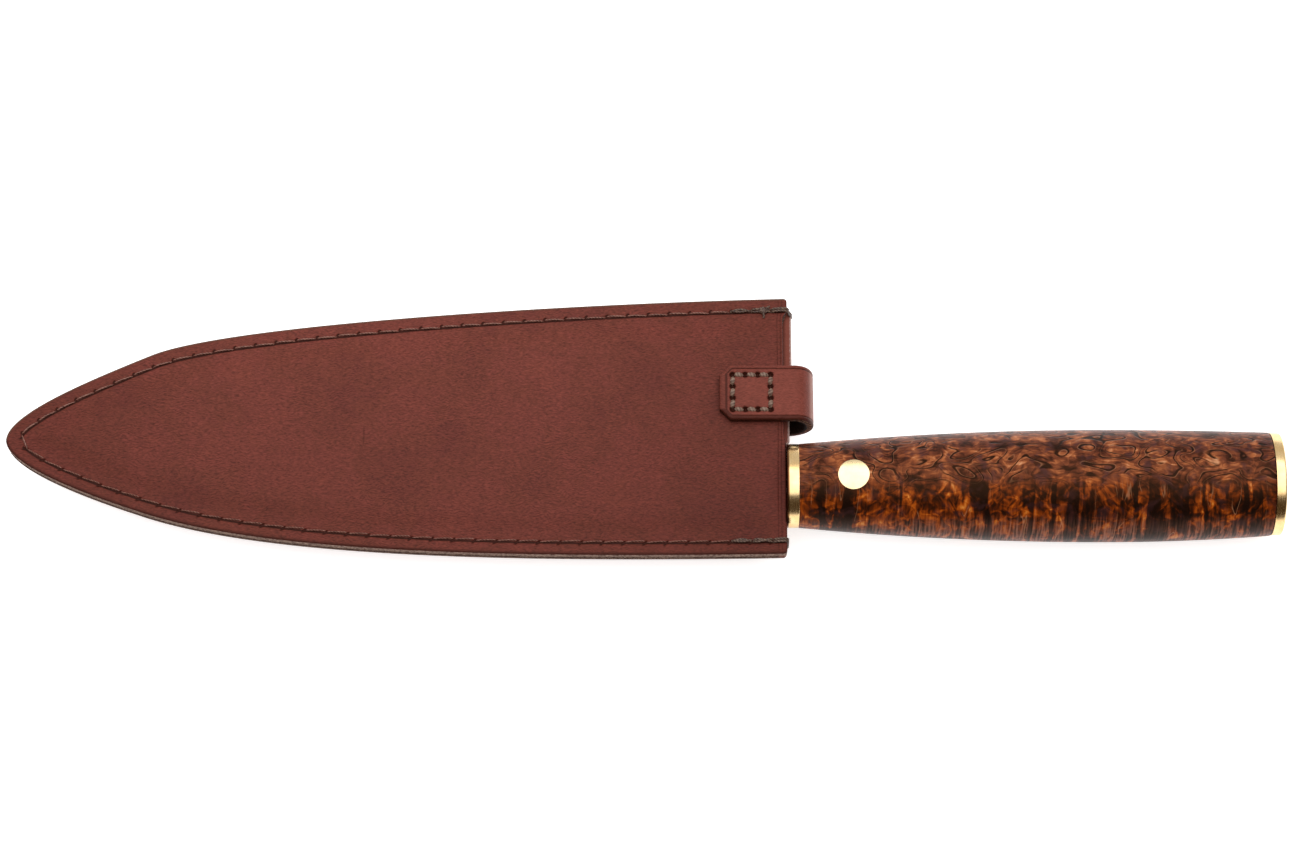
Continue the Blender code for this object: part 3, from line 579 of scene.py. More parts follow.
def strap():
    """The strap: an oblong section with eased edges carried along the route, its corners cut off.

    The outer face sinks at the crease, 1 mm inside the outline, at the twelve stitch holes, which
    lie 3 mm apart round a square, and along the square; each dent is a bell of its distance.
    """
    route, places = strap_route()
    run = unit(np.gradient(route, axis=0))
    normal = np.column_stack((-run[:, 1], run[:, 0]))
    rim = join(((0, 0.06, 0.16, 0.3, 0.5, 0.7, 0.85, 1.0, 1.15, 1.3, 1.5),
                          np.arange(1.78, 7.3, 0.28)))
    across = join((rim - strap_half, [0], strap_half - rim[::-1]))
    from_end = np.minimum(places, places[-1] - places)[:, None]
    half = np.minimum(strap_half, strap_corner + from_end)
    c = across * half / strap_half
    corner = (strap_corner + from_end - np.abs(c)) / sqrt(2)
    inside = np.minimum(np.minimum(half - np.abs(c), from_end * 0.57), corner)
    inside = np.maximum(inside, 0)
    inside[:, (0, -1)] = 0
    # Across the box in stitches, from -1.5 to 1.5 both ways
    a = (places - (box_x - strap_root_x))[:, None] * box_half / box_wide + 0 * c
    b = c * box_half / box_tall
    near_a, near_b = (v - (np.round(v - 0.5) + 0.5) for v in (a, b))
    square = np.maximum(np.abs(a), np.abs(b))
    hole = bell(np.hypot(near_a, near_b), 0.2) * ((square > 1) & (square < 1.95))
    track = bell(square - box_half, 0.18) * (square < 1.75)
    thick = strap_thick / 2
    outer = thick - rounded(inside, 0.6) - 0.15 * bell(inside - strap_crease, 0.17)
    outer = outer - 0.75 * hole - 0.16 * track + 0.03 * ripple(places[:, None], c, 9, 21)
    inner = thick - rounded(inside, 0.25)

    def place(sideways, height):
        xz = route[:, None] + height[..., None] * normal[:, None]
        return np.dstack((xz[..., 0], strap_y + sideways, xz[..., 1]))

    top, under = place(c, outer), place(c, -inner)[:, ::-1]
    high, low = c[:, -1:] + 0.05, c[:, :1] - 0.05
    rims = [place(side, 0.35 * height) for side, height in (
        (high, outer[:, -1:]), (high, -inner[:, -1:]), (low, -inner[:, :1]), (low, outer[:, :1]))]
    loops = join((top, *rims[:2], under, *rims[2:]), 1)
    skin = np.ones_like(c)
    skin[:, (0, -1)] = 0
    skin = wrapped(skin, 0.0, -1.0)
    skin[(0, -1), :] = 0
    values = {
        "inside": wrapped(inside, 0.0),
        "hole": wrapped(hole, 0.0, 0.0),
        "track": wrapped(track, 0.0, 0.0),
        "skin": skin,
        "run": np.broadcast_to(places[:, None], loops.shape[:2]),
    }
    return build("strap_leather", loops, shell_faces(*top.shape[:2], both=True), values)


def box_stitches():
    """Twelve short strands between the holes of the square, each an arch from hole to hole."""
    t = np.linspace(0, 1, 9)
    lines = []
    for c, s in ((1, 0), (0, 1), (-1, 0), (0, -1)):
        for start in (-1.5, -0.5, 0.5):
            along, out = start + 0.19 + 0.62 * t, box_half + 0.04 * np.cos(pi * t)
            x = box_x + (along * c - out * s) * box_wide / box_half
            y = strap_y + (along * s + out * c) * box_tall / box_half
            height = strap_front_z + strap_thick / 2 - 0.6 + 0.62 * arch(t, 0.6)
            lines.append(np.column_stack((x, y, height)))
    taper = 0.7 + 0.3 * arch(t, 0.5)
    return tubes("strap_stitches", lines, 0.6 * taper, 0.32 * taper, around=10)


def snap_parts():
    """Post, stud, socket and cap of the snap, turned about its axis with rolled edges.

    Each profile lists radius and height, then how far its corners are eased and in how many steps.
    """
    profiles = {
        "post": (((0, -1.0), (4.4, -1.0), (4.5, -1.3), (1.8, -1.35), (1.8, -5.55),
                  (0, -5.55)), 0.12, 3),
        "stud": (((0, -5.75), (2.0, -5.75), (2.0, -3.45), (4.9, -3.45), (5.0, -3.8), (4.6, -4.15),
                  (3.6, -4.05), (2.7, -4.2), (2.72, -4.5), (3.1, -4.95), (2.9, -5.6), (2.1, -6.4),
                  (0, -6.45)), 0.25, 5),
        "socket": (((0, -6.75), (3.4, -6.65), (3.4, -4.75), (3.8, -4.4), (4.6, -4.35), (5.1, -4.4),
                    (5.6, -4.8), (5.5, -6.2), (5.55, -7.0), (0, -7.04)), 0.25, 4),
        "cap": (((0, -6.9), (1.55, -6.9), (1.6, -9.65), (5.9, -9.62), (6.2, -9.8), (6.15, -10.1),
                 (5.6, -10.5), (5.2, -10.42), (4.6, -10.62), (3.2, -10.88), (1.6, -10.98),
                 (0, -11.0)), 0.3, 5),
    }
    return [turned(f"snap_{name}_turned", eased(*profile), (snap_x, snap_y))
            for name, profile in profiles.items()]


# Knife pieces

def half_height(x):
    """The handle's half height: a parabola on each side of the belly."""
    x = np.asarray(x, float)
    back = belly_half - (belly_half - butt_half) * ((x - belly_x) / (handle_butt_x - belly_x)) ** 2
    front = (belly_half - front_half) * ((belly_x - x) / (belly_x - handle_front_x)) ** 2
    return np.where(x > belly_x, back, belly_half - front)


def centre_y(x):
    """The handle's centre line, which rises a little at the butt."""
    rise = np.clip((np.asarray(x, float) - belly_x) / (handle_butt_x - belly_x), 0, 2)
    return butt_rise * rise**2


def ovals(xs, insets, shape_x):
    """Rings of the handle's shape at shape_x, one for each x.

    A ring is (x, centre + (h - inset) cos t, (0.87 h - inset) sin t). An inset of nan is a pole.
    """
    t = full_turn(128)
    inset = np.array(insets, float)[:, None]
    h, centre = half_height(shape_x)[..., None], centre_y(shape_x)[..., None]
    high, deep = (np.nan_to_num(half - inset) for half in (h, depth_ratio * h))
    x = np.array(xs, float)[:, None]
    return grid(x, centre + high * np.cos(t), deep * np.sin(t))


def handle():
    """The wood: ovals from the ferrule to the butt cap, its ends eased a hair."""
    xs = np.linspace(wood_front_x + 0.15, handle_butt_x - 0.15, 110)
    xs = join(([wood_front_x] * 3, xs, [handle_butt_x] * 3))
    insets = [nan, 5.0, 0.08] + [0.0] * 110 + [0.08, 5.0, nan]
    return pole_ended("handle_wood", ovals(xs, insets, xs))


def ferrule():
    """The brass ferrule: an oval ring with eased edges round the slot for the tang.

    Each ray goes from the oval to the slot's oblong, at the distance where it meets its nearer wall.
    """
    back, front = wood_front_x - 0.03, ferrule_front_x
    section = ((back, 0.3), (back, 0.06), (back - 0.05, 0.02), (back - 0.2, 0), (front + 0.2, 0),
               (front + 0.05, 0.03), (front, 0.08), (front, 0.3))
    rings = ovals(*np.transpose(section) + ((0,), (0.04,)), handle_front_x)
    t = full_turn(rings.shape[1])
    slot = [wall / np.maximum(np.abs(way), 1e-6) for wall, way in ((7.3, np.cos(t)), (1.4, np.sin(t)))]
    reach = np.minimum(*slot)
    walls = np.array((front, front + 0.1, back - 0.1, back))[:, None]
    points = join((rings, grid(walls, reach * np.cos(t), reach * np.sin(t))))
    return build("ferrule_brass", points, [quads(*points.shape[:2], closed=True)])


def butt_cap():
    """The brass cap: an oval plate whose rim is eased all round."""
    profile = ((-2.6, nan), (-2.6, 6), (-2.6, 0.32), (-2.55, 0.16), (-2.4, 0.1), (-1.6, 0.1),
               (-0.6, 0.1), (-0.32, 0.13), (-0.14, 0.22), (-0.04, 0.38), (0, 0.6), (0, 6),
               (0, nan))
    return pole_ended("butt_cap_brass", ovals(*zip(*profile), handle_butt_x))


def pin():
    """The flush pin: a rod through the handle whose two faces follow the wood, a hair proud."""
    rings = np.array((0, 1.2, 2.4, 3.3, 3.8, 3.93, pin_radius))[:, None]
    t = full_turn(72)
    x, y = pin_x + rings * np.cos(t), rings * np.sin(t) + centre_y(pin_x)
    z = depth_ratio * np.sqrt(half_height(x) ** 2 - (y - centre_y(x)) ** 2) + pin_proud
    z[-1] -= 2 * pin_proud
    top = np.stack((x, y, z), -1)
    return pole_ended("pin_brass", join((top, (top * (1, 1, -1))[::-1])))


def blade_line(sign):
    """The blade's spine or edge, set in from the sheath's outline."""
    moved = OUTLINE[sign] + blade_inset[sign] * FACING[sign]
    kept = moved[sign * (moved[:, 1] - tip_y) > -blade_inset[sign] / 2]
    return kept[np.argsort(kept[:, 0])]


def blade():
    """The blade: flat tapering cheeks, an eased spine and a fine bevel at the edge, then the tang.

    Half its thickness falls evenly from the spine to the bevel and from the heel to the tip; the
    last 1.5 mm run down to the edge.
    """
    spine, edge = blade_line(-1), blade_line(1)
    low = lambda x: np.interp(x, spine[:, 0], spine[:, 1])
    high = lambda x: np.interp(x, edge[:, 0], edge[:, 1])
    far = np.linspace(tip_x, heel_x, 2000)
    first = far[high(far) - low(far) > 0.5][0]
    run = 1 - (1 - np.linspace(0, 1, 130)) ** 1.7
    xs = (heel_x + (first - heel_x) * run)[::-1]
    shares = np.linspace(0, 1, 22)[1:-1]
    heel_low = float(low(heel_x))
    fall = (blade_half - edge_half) / (float(high(heel_x)) - heel_low)

    def half(x, y):
        thick = blade_half - fall * (y - heel_low) - tip_taper * (heel_x - x)
        return np.clip(thick, 0.06, blade_half - 0.02)

    def section(x, bottom, top, bevel=0.4, tip=0.9):
        """One closed section: up the front cheek, down the back one."""
        turn = max(top - bevel, (bottom + top) / 2)
        y = join(([bottom, bottom + 0.12], bottom + (turn - bottom) * shares, [turn, top]))
        z = half(x, y)
        z[0] *= 0.72
        z[-1] = tip
        up = np.column_stack((np.full(len(y), x), y, z))
        return join((up, (up * (1, 1, -1))[::-1]))

    rings = [section(x, float(low(x)), float(high(x)), bevel_high, 0.02) for x in xs]
    for turn in np.linspace(0, pi / 2, 8):
        x = heel_x + heel_radius * sin(turn) + 0.002
        y = choil_y + heel_radius * (1 - sin(turn))
        rings.append(section(x, heel_low, y, tip=float(half(x, y))))
    tang = ((ferrule_front_x - 0.4, heel_low, choil_y), (ferrule_front_x, -7, 7), (pin_x, -7, 7),
            (tang_end_x, -4, 4))
    points = np.array(rings + [section(*place) for place in tang])
    size = points.shape[:2]
    cheek, last = np.arange(size[1]), size[1] // 2 - 1
    bevel = np.broadcast_to((cheek == last) | (cheek == last + 1), size)
    return build("blade_steel", points, [quads(*size), end_lids(*size)], {"bevel": bevel}, crease=12)


# Finishes

def ink(code):
    """A colour of a node's socket, in linear light, from an sRGB hex value."""
    parts = [int(code[k:k + 2], 16) / 255 for k in (0, 2, 4)]
    return (*(c / 12.92 if c <= 0.04045 else ((c + 0.055) / 1.055) ** 2.4 for c in parts), 1)


def node_adder(tree):
    """Empties a node tree and gives the function that adds a node with its settings and links."""
    tree.nodes.clear()

    def put(kind, inputs=None, out=0, stops=(), **settings):
        node = tree.nodes.new("ShaderNode" + kind)
        for key, value in settings.items():
            setattr(node, key, value)
        for key, value in (inputs or {}).items():
            if isinstance(value, Wire):
                tree.links.new(value.socket, node.inputs[key])
            else:
                node.inputs[key].default_value = ink(value) if isinstance(value, str) else value
        if stops:
            ramp = node.color_ramp.elements
            while len(ramp) < len(stops):
                ramp.new(0.5)
            for element, (place, colour) in zip(ramp, stops):
                element.position = place
                element.color = ink(colour) if isinstance(colour, str) else colour
        return Wire(put, node.outputs[out]) if node.outputs else None

    return put


class Wire:
    """The output of a node, which can be reckoned with: each sign or method adds one node."""

    def __init__(self, put, socket):
        self.put, self.socket = put, socket

    def math(self, operation, *others):
        return self.put("Math", dict(enumerate((self, *others))), operation=operation)

    def vector(self, operation, other):
        return self.put("VectorMath", {0: self, 1: other}, operation=operation)

    __add__, __sub__, __mul__, __gt__, __lt__, __abs__ = (
        lambda self, *other, operation=operation: self.math(operation, *other)
        for operation in ("ADD", "SUBTRACT", "MULTIPLY", "GREATER_THAN", "LESS_THAN", "ABSOLUTE"))

    def most(self, *others):
        """The greatest of several."""
        result = self
        for other in others:
            result = result.math("MAXIMUM", other)
        return result

    def nearest_whole(self):
        """How far a number is past the nearest whole one, from -0.5 to 0.5."""
        return self.math("WRAP", 0.5, -0.5)

    def scaled(self, factor):
        return self.put("VectorMath", {0: self, "Scale": factor}, operation="SCALE")

    def axis(self, number):
        return self.put("SeparateXYZ", {0: self}, out=number)

    def fit(self, start, end, first=0, last=1, soft=False):
        """first at start and below, last at end and above, straight or softly between."""
        return self.put("MapRange", {0: self, 1: start, 2: end, 3: first, 4: last},
                        interpolation_type="SMOOTHSTEP" if soft else "LINEAR")

    def colours(self, *stops):
        return self.put("ValToRGB", {"Fac": self}, stops=stops)

    def mix(self, nothing, full):
        """One colour where this is 0 and another where it is 1."""
        return self.put("Mix", {0: self, 6: nothing, 7: full}, out=2, data_type="RGBA")

    def share(self, nothing, full):
        """One number where this is 0 and another where it is 1."""
        return self.put("Mix", {0: self, 2: nothing, 3: full}, data_type="FLOAT")

    def noise(self, size, detail=2, rough=0.5, bend=0, out=0):
        """Noise of a size in mm, one for all ways or one each for x, y and z."""
        vector, scale = self, 1
        if isinstance(size, tuple):
            vector = self.vector("MULTIPLY", tuple(1 / s for s in size))
        else:
            scale = 1 / size
        return self.put("TexNoise", {"Vector": vector, "Scale": scale, "Detail": detail,
                                     "Roughness": rough, "Distortion": bend}, out=out)


def finish_of(name):
    """A new material, the function that adds its nodes, and places on the part in mm."""
    made = bpy.data.materials.new(name)
    made.use_nodes = True
    put = node_adder(made.node_tree)
    return made, put, put("TexCoord", out="Object").scaled(1000)


def ended(made, put, colour, rough, height=None, strength=1, distance=1, **sockets):
    """The material's shader, with a bump where a height (in m times distance) is given."""
    inputs = {"Base Color": colour, "Roughness": rough}
    if height:
        inputs["Normal"] = put("Bump", {"Height": height, "Strength": strength, "Distance": distance})
    inputs.update({key.replace("_", " "): value for key, value in sockets.items()})
    put("OutputMaterial", {"Surface": put("BsdfPrincipled", inputs)})
    return made


def leather(name, dye, edge, flesh, depth, seam=False, box=False):
    """Vegetable-tanned cowhide, dyed red-brown and waxed.

    To the eye: a nearly even warm brown with soft blotches, fine wrinkles under 1 mm apart that
    catch the light, a dull wax sheen, darker where it is creased, with painted shade along the
    stitches and other painted light and shade where noted below. dye holds the four tones of the
    grain side, edge and flesh the two of the cut edge and of the flesh side; depth is how far the
    grain's tone strays. seam is for the sheath's panels, box for the strap.
    """
    made, put, mm = finish_of(name)
    x, y, z = (mm.axis(number) for number in range(3))
    mark = lambda label: put("Attribute", attribute_name=label, out="Fac")
    skin, inside = mark("skin"), mark("inside")
    # Blotches of the dye, about 18 mm and 3 mm across
    small = mm.noise(3.2)
    mixed = small * 0.25 + mm.noise(18, 3, 0.6) * 0.75
    base = mixed.colours(*zip((0.34, 0.47, 0.56, 0.68), dye))
    # Wrinkles 0.9 mm apart, longer along the hide, bent by a finer noise, with pores between
    bent = mm.noise(2.4, out="Color").scaled(1.2).vector("ADD", mm)
    longer = bent.vector("MULTIPLY", (0.38, 1.25, 1))
    pebble = put("TexVoronoi", {"Vector": longer, "Scale": 1 / 0.9}, feature="DISTANCE_TO_EDGE")
    grain = longer.noise(0.36, 1.5) * 1.6 - 0.8
    grain = pebble.fit(0, 0.3, soft=True) * 0.12 + grain
    # Wavy wrinkles 0.75 mm apart, in patches about 20 mm across
    wave = mm.noise(5) * 9 + y * (1 / 0.75)
    wave = (wave * (2 * pi)).math("SINE")
    grain = wave * mm.noise(20, 1).fit(0.42, 0.62, 0.02, 0.14) + grain
    base = base.scaled(grain.fit(-0.42, 0.58, 1 - depth, 1 + depth))
    dark = inside.fit(0.3, 0.95, 0.2 if box else 0.72, 0)
    height = grain * 0.00011
    if seam:
        # Painted light and shade: the dye is made paler towards the edge's side, which faces the light,
        # and darker and redder towards the spine's side; it is also paler in the middle of the length
        # than near the mouth and the tip
        painted_falloff = y.fit(-18, 45, 0.84, 1.08) * abs(x + 230).fit(45, 100, 1.02, 0.83)
        painted_falloff = painted_falloff.fit(0.65, 1.1)
        painted_falloff = painted_falloff.colours((0, (0.67, 0.56, 0.52, 1)), (1, (1.1, 1.1, 1.1, 1)))
        base = base.vector("MULTIPLY", painted_falloff)
        lean, stitch, mouth = mark("lean"), mark("stitch"), mark("mouth")
        front = z > 0
        # Painted light and shade on the rim: it is painted dark along the spine's side, which faces
        # away from the light, and pale along the edge's side, which faces it
        dark = dark * lean.fit(-0.2, 0.2, 1, 0.3)
        painted_rim_light = inside.fit(0.3, 0.6, 0.9, 0) * lean.fit(-0.2, 0.2)
        base = painted_rim_light.mix(base, "694f41")
        # A scratch 5 mm long across the front
        scratch = abs(x + 234.45).fit(0.1, 0.3, 0.4, 0) * abs(y - 12.4).fit(1.8, 2.6, 1, 0)
        # How far a point lies from the seam, towards the blade's spine
        below = (inside - seam_inset) * lean
        # Painted shadow of the strands, 0.5 mm wide, in the groove on their side towards the blade's
        # spine
        there = (stitch < 0.25) * (inside < 5.2)
        groove = abs(small * 0.3 - 0.49 + below).fit(0.14, 0.38, 1, 0, soft=True)
        groove = groove * there * (mouth > 0.6)
        # Awl slits at 45 degrees to the seam, which reach out from under the strands towards the
        # rim, 1.9 mm long on the spine's side and 1.2 mm on the edge's; they are sunk by a bump and
        # painted dark as painted shade inside them
        from_hole = stitch.nearest_whole() * stitch_pitch
        grow = lean.fit(-0.2, 0.2, 1 / 0.95, 1 / 0.62)
        long_way = ((from_hole + below) * 0.7071 + (lean * 0.4 - 0.1)) * grow
        short_way = (from_hole - below) * (0.7071 / 0.4)
        slit = put("CombineXYZ", {0: long_way, 1: short_way})
        slit = put("VectorMath", {0: slit}, operation="LENGTH", out="Value")
        slit = slit.fit(0.55, 1.2, 0.95, 0, soft=True) * abs(lean) * there
        # The two crease lines along the mouth
        crease = abs(abs(mouth - mouth_crease) - crease_apart).fit(0, 0.22, 0.5, 0)
        # Painted shade where the front panel meets the brass, beside the ferrule
        painted_shade_at_brass = abs(y).fit(10.2, 11.2, 1, 0.3) * mouth.fit(0.2, 0.6, 1, 0)
        dark = dark.most(scratch * front, crease, painted_shade_at_brass, groove, slit)
        height = slit * -0.0003 + height
    if box:
        run = mark("run")
        # Painted highlight: the grain is painted pale where the strap turns over the bend
        bow = abs(run - 24.6).fit(0.3, 2.2, 0.75, 0, soft=True)
        base = bow.mix(base, "a87a6e")
        # Painted shade: along the lower side, which faces away from the light, the rim is painted dark
        # as far as the crease
        painted_low_rim_shade = inside.fit(0.8, 1.05, 1, 0) * y.fit(strap_y - 4.8, strap_y - 4.2, 0.72, 0)
        crease = abs(inside - strap_crease).fit(0.04, 0.3, 0.8, 0)
        # Painted shade in the stitch holes; the track between them is a little darker too
        hole = mark("hole").fit(0.08, 0.3)
        dark = dark.most(painted_low_rim_shade, crease, mark("track") * 0.3, hole)
    grain_side = skin.fit(0.3, 0.9)
    colour = (dark * grain_side).mix(base, "2b0d05")
    # Cut edge with fibres 0.6 mm apart; the flesh side is duller and darker, on the strap near black as
    # painted shade inside the bend
    fibre = mm.noise(0.6, 3)
    cut, under = (fibre.colours((0.3, tones[0]), (0.7, tones[1])) for tones in (edge, flesh))
    if seam:
        # Light falls on the front panel's edge; the mouth's is burnished on the front and raw behind
        cut = cut.scaled(z.fit(-0.2, 0.9, 0.7, 1.05))
        cut = mouth.fit(0.1, 0.6, 0.9, 0).mix(cut, front.mix("a98b83", "3c160c"))
        # The dye has run a little way into the flesh side at the mouth
        ragged = (fibre * 0.5 + mouth).fit(0.25, 3.25)
        under = ragged.colours((0.1, "b79d96"), (0.2, "80493f"), (0.45, "8a4c40"), (0.9, flesh[0]))
    if box:
        # Round the bend the cut edge is frayed with pale fibres, partly painted light where the edge
        # catches the light there
        frayed_and_lit = abs(run - 25).fit(3, 8, 0.8, 0) * fibre.fit(0.5, 0.64, 0.1, 1)
        cut = frayed_and_lit.mix(cut, "a88468")
    cut = skin.fit(-0.9, -0.2, 1, 0).mix(cut, under)
    return ended(made, put, grain_side.mix(cut, colour), grain_side.fit(0, 1, 0.85, 0.48),
                 height, 0.6, Specular_IOR_Level=0.15, Specular_Tint="ffd8cf")


def waxed_thread(name, tones):
    """Waxed linen thread of two plies: dull taupe brown with slanting ply lines, darker between them.
    """
    made, put, mm = finish_of(name)
    lay = put("UVMap", uv_map="lay")
    # Two plies round the strand, one full twist in 1.6 mm
    wave = lay.axis(0) * 2 + lay.axis(1) * (1 / 0.8)
    wave = (wave * (2 * pi)).math("SINE").fit(-1, 1)
    colour = (wave * 0.35 + mm.noise(0.7, 3)).colours(*zip((0.3, 0.65, 1), tones))
    return ended(made, put, colour, 0.5, wave, 0.5, 0.00006, Specular_IOR_Level=0.4)


def figured_birch(name):
    """Curly birch burl, stabilised with resin, dyed brown and polished.

    To the eye: red-brown grain drawn out along the handle with curved fissures in the upper half,
    some with a painted highlight on one side, amber flame between near-black bars that stand across
    the handle in its lower half, fine streaks towards the lower edge with painted sheen between them,
    under a satin polish.
    """
    made, put, mm = finish_of(name)
    y = mm.axis(1)
    # The grain wanders by about 2 mm over 8 mm
    sway = mm.noise(8, out="Color").vector("SUBTRACT", (0.5, 0.5, 0.5)).scaled(6)
    bent = sway.vector("ADD", mm)
    low = y.fit(0.5, -5.5, soft=True)
    # Bars about 2.5 mm wide and 6 mm apart, across the handle, with a pale thread along their sides
    across = sway.scaled(0.35).vector("ADD", mm).noise((2.9, 26, 26), 1.5, 0.4)
    bars = across.fit(0.52, 0.58, soft=True) * low
    thread = abs(across - 0.47).fit(0.002, 0.009, 0.4, 0) * low
    thread = thread * mm.noise(7, 0).fit(0.48, 0.58)
    # Dark patches about 5 mm across
    patch = bent.noise(4.6) - 0.5
    # Grain drawn out along the handle above and standing across it below
    wide = bent.noise((4.2, 1.1, 1.1), 3, 0.52, bend=0.9)
    tight = bent.noise((1.7, 2.6, 2.6), 2, 0.45, bend=0.8)
    fine = low.share(wide, tight) - 0.5
    # Fibres 0.5 mm apart that stand across the handle towards its lower edge, with pale streaks between
    # them painted as the sheen the lower edge catches from the floor
    fibre = mm.noise((0.5, 7, 7))
    painted_sheen_streaks = fibre.fit(0.42, 0.66, 0, 0.7) * y.fit(-9.8, -13.4, soft=True)
    painted_sheen_streaks = painted_sheen_streaks * bars.fit(0, 1, 1, 0.25)
    fibre = (fibre - 0.5) * y.fit(-6, -13, 0.12, 1)
    # Figure: bands that follow the level lines of a smooth noise, drawn out along the handle
    level = (mm.noise((8.5, 4.6, 4.6), 0.5, 0.3, bend=0.35) * 6).nearest_whole()
    tone = patch * 1.2 + level * 0.13 + fine * 1.2 + fibre * 0.75 - bars * 0.36 + 0.49
    above = tone.colours((0.08, "170905"), (0.3, "3a1b11"), (0.45, "582c1d"), (0.6, "743d25"),
                         (0.78, "9c5a35"), (0.98, "bf8660"))
    below = tone.colours((0.1, "100503"), (0.3, "260d04"), (0.46, "4a1c06"), (0.6, "74300a"),
                         (0.78, "a34d12"), (0.98, "ca8038"))
    colour = painted_sheen_streaks.mix(low.mix(above, below), "8a5a48")
    # Greyed stains 4 mm across, weaker in the lower half
    stain = bent.noise(3.6, rough=0.55).fit(0.54, 0.68, 0, 0.7) * low.fit(0, 1, 1, 0.45)
    colour = stain.mix(colour, "432729")
    # Fissures 0.3 mm wide along some of the level lines, a few with a painted highlight on one side,
    # where the raised lip would catch the light
    gate = mm.noise(5.5, 1).fit(0.37, 0.49) * low.fit(0.2, 0.8, 1, 0)
    crack = abs(level).fit(0.05, 0.125, 1, 0) * gate
    painted_lip_highlight = abs(level + 0.12).fit(0.01, 0.05, 0.3, 0) * gate
    colour = painted_lip_highlight.most(thread).mix(colour, "b37c58")
    colour = (crack * 0.95).mix(colour, "0e0503")
    return ended(made, put, colour, tone.fit(0.2, 0.9, 0.42, 0.3), crack * -0.0001 + fine * 0.00006,
                 0.7, Specular_IOR_Level=0.16, Specular_Tint="ffb887")


def brushed_brass(name, stretch, tones):
    """Yellow brass, brushed with fine paper: clear gold reflections drawn out across the scratches.

    stretch gives the scratches' spacing in mm along x, y and z; they are long where it is large.
    tones are the metal's two shades, where it is handled and where it is fresh.
    """
    made, put, mm = finish_of(name)
    # The butt's flat end is brushed straight across, 0.2 mm between the lines
    flat = put("TexCoord", out="Normal").axis(0).fit(0.9, 0.95)
    straight = mm.noise((9, 9, 0.2))
    lines = flat.share(mm.noise(stretch, 3), straight)
    colour = flat.share(mm.noise(3), straight).colours((0.3, tones[0]), (0.7, tones[1]))
    # Painted shade: the ferrule's end beside the leather is painted dark brown, for the shadow and dark
    # reflection in the gap
    painted_shade_at_leather = mm.axis(0).fit(ferrule_front_x + 0.3, ferrule_front_x + 0.48, 0.9, 0)
    colour = painted_shade_at_leather.mix(colour, "5c2c06")
    return ended(made, put, colour, lines.fit(0.3, 0.7, 0.2, 0.28), lines, 0.05, 0.00003, Metallic=1)


def snap_brass(name):
    """Antique-finished brass of a snap, mottled between two dull shades."""
    made, put, mm = finish_of(name)
    stain = mm.noise(3.5, 3)
    colour = stain.colours((0.3, "8a6a3f"), (0.7, "a5834f"))
    return ended(made, put, colour, stain.fit(0.3, 0.7, 0.36, 0.3), Metallic=1)


def blade_steel(name):
    """Stainless blade steel, satin ground from spine to edge, with a brighter polished bevel."""
    made, put, mm = finish_of(name)
    # Grinding lines 0.15 mm apart, running from spine to edge
    lines = mm.noise((0.15, 30, 2), 3)
    colour = lines.colours((0.3, "c6c8ca"), (0.7, "d0d2d4"))
    bevel = put("Attribute", attribute_name="bevel", out="Fac")
    rough = bevel * -0.12 + lines.fit(0.3, 0.7, 0.34, 0.38)
    return ended(made, put, colour, rough, lines, 0.03, 0.00002, Metallic=1)


def dress(body, slot, material, **pieces):
    """Gives pieces their material and body, and hides the CAD node that each is named by.

    Of a list the first stands for the node, and the others have none. slot is not used.
    """
    for node, group in pieces.items():
        for number, piece in enumerate(group if isinstance(group, list) else [group]):
            piece.data.materials.append(material)
            if number == 0:
                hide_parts(node)
            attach(piece, body)


def make_sheath():
    """Panels, welt and thread of the sheath."""
    tones = (("5f2d26", "643127", "68322a", "6b342a"), ("4a342c", "9c8274"), ("2c1710", "4c2c20"), 0.46)
    dress("sheath", "leather", leather("waxed_cowhide", *tones, seam=True),
          front_panel=panel("front_panel_leather", 1), back_panel=panel("back_panel_leather", -1))
    dress("sheath", "leather", leather("waxed_cowhide_edge", *tones), welt=welt())
    linen = waxed_thread("waxed_linen_thread", ("2c140d", "73493d", "95695c"))
    worked = waxed_thread("waxed_linen_thread_dark", ("1e120e", "4a332a", "76604f"))
    pale = waxed_thread("waxed_linen_thread_pale", ("40241b", "6e5547", "8b7464"))
    dress("sheath", "thread", linen, seam_thread_front=seam("seam_stitches_front", 1),
          seam_thread_back=seam("seam_stitches_back", -1))
    dress("sheath", "thread", worked, mouth_stitch_edge=mouth_stitches("mouth_edge", 1),
          mouth_stitch_spine=mouth_stitches("mouth_spine", -1) + [knot()])
    dress("sheath", "thread", pale, strap_thread=box_stitches())


def make_strap():
    """The strap in one piece, curved round the mouth, and its snap."""
    belt = strap()
    # The strap's flesh tones are painted near black, as painted shade inside its bend
    belt.data.materials.append(leather(
        "waxed_strap_leather", ("6a342b", "6f372d", "73392f", "773b31"), ("2a120a", "552a1b"),
        ("0c0502", "1a0c06"), 0.28, box=True))
    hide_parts("strap_anchor", "strap_flap")
    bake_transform(belt)
    antique = snap_brass("antique_snap_brass")
    post, stud, socket, cap = snap_parts()
    dress("sheath", "snap_metal", antique, snap_post=post, snap_stud=stud)
    dress("strap", "snap_metal", antique, snap_socket=socket, snap_cap=cap)


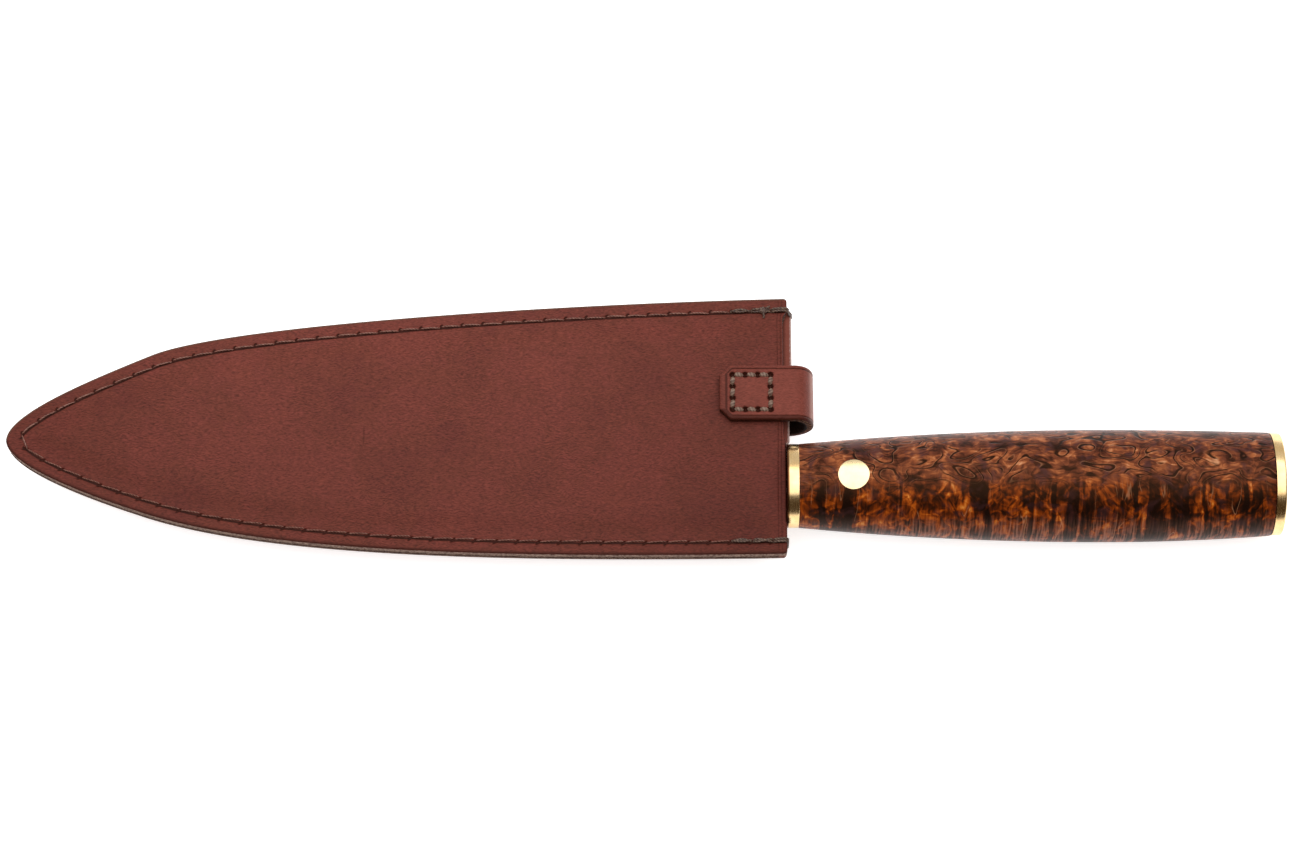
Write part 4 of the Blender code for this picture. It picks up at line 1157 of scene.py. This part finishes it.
def make_knife():
    """Handle, its fittings and the blade."""
    dress("knife", "wood", figured_birch("stabilised_curly_birch"), handle=handle())
    around = brushed_brass("brass_brushed_round", (0.12, 9.0, 9.0), ("e0ba80", "eacc9a"))
    filed = brushed_brass("brass_filed_flush", (6.0, 0.14, 6.0), ("e3c896", "ecd4a4"))
    dress("knife", "brass", around, ferrule=ferrule(), butt_cap=butt_cap())
    dress("knife", "brass", filed, handle_pin=pin())
    dress("knife", "steel", blade_steel("satin_blade_steel"), blade=blade())
    for name in ("cap_pin_upper", "cap_pin_lower"):
        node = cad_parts[name]
        node.data.materials.clear()
        node.data.materials.append(around)


# Studio

# The camera, in m and degrees: what it looks at, how far off and how far tipped it stands, and its
# focal length and the picture's width in pixels
look_at, camera_away, camera_tip = np.array((-0.1606, 0.014, 0)), 0.88, radians(18)
focal_pixels, pixels_wide, sensor_mm = 3421, 1304, 36
floor_half = 3


def make_studio():
    """A pale floor under the lowest point, one large softbox overhead and a dim warm surround."""
    scene = bpy.context.scene
    low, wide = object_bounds()[0][2], floor_half
    mesh = bpy.data.meshes.new("floor")
    corners = [(-wide, -wide, low), (wide, -wide, low), (wide, wide, low), (-wide, wide, low)]
    mesh.from_pydata(corners, [], [(0, 1, 2, 3)])
    floor = placed("floor", mesh)
    paper, put, _ = finish_of("white_paper")
    mesh.materials.append(ended(
        paper, put, "f4f4f4", 0.9, Specular_IOR_Level=0.1, Emission_Color="ffffff",
        Emission_Strength=0.7))

    lamp = bpy.data.lights.new("softbox", "AREA")
    lamp.shape = "RECTANGLE"
    lamp.size, lamp.size_y, lamp.energy = 2.4, 2.0, 31
    placed("softbox", lamp, (-0.16, 0.12, 1.5), radians(-4))

    # The surround is pale towards the light's side and dark brown towards the other
    scene.world = bpy.data.worlds.new("studio")
    scene.world.use_nodes = True
    put = node_adder(scene.world.node_tree)
    shade = put("TexCoord", out="Generated").axis(1).fit(-0.4, 0.5)
    tint = shade.colours((0.0, (0.06, 0.038, 0.018, 1)), (1.0, (0.75, 0.75, 0.75, 1)))
    put("OutputWorld", {0: put("Background", {"Color": tint})})
    scene.view_settings.view_transform = "Standard"

    lens = bpy.data.cameras.new("camera")
    lens.sensor_width = sensor_mm
    lens.lens = sensor_mm * focal_pixels / pixels_wide
    lens.clip_start = 0.01
    back = np.array((0, -sin(camera_tip), cos(camera_tip)))
    scene.camera = placed("camera", lens, look_at + camera_away * back, camera_tip)


make_sheath()
make_strap()
make_knife()
make_studio()
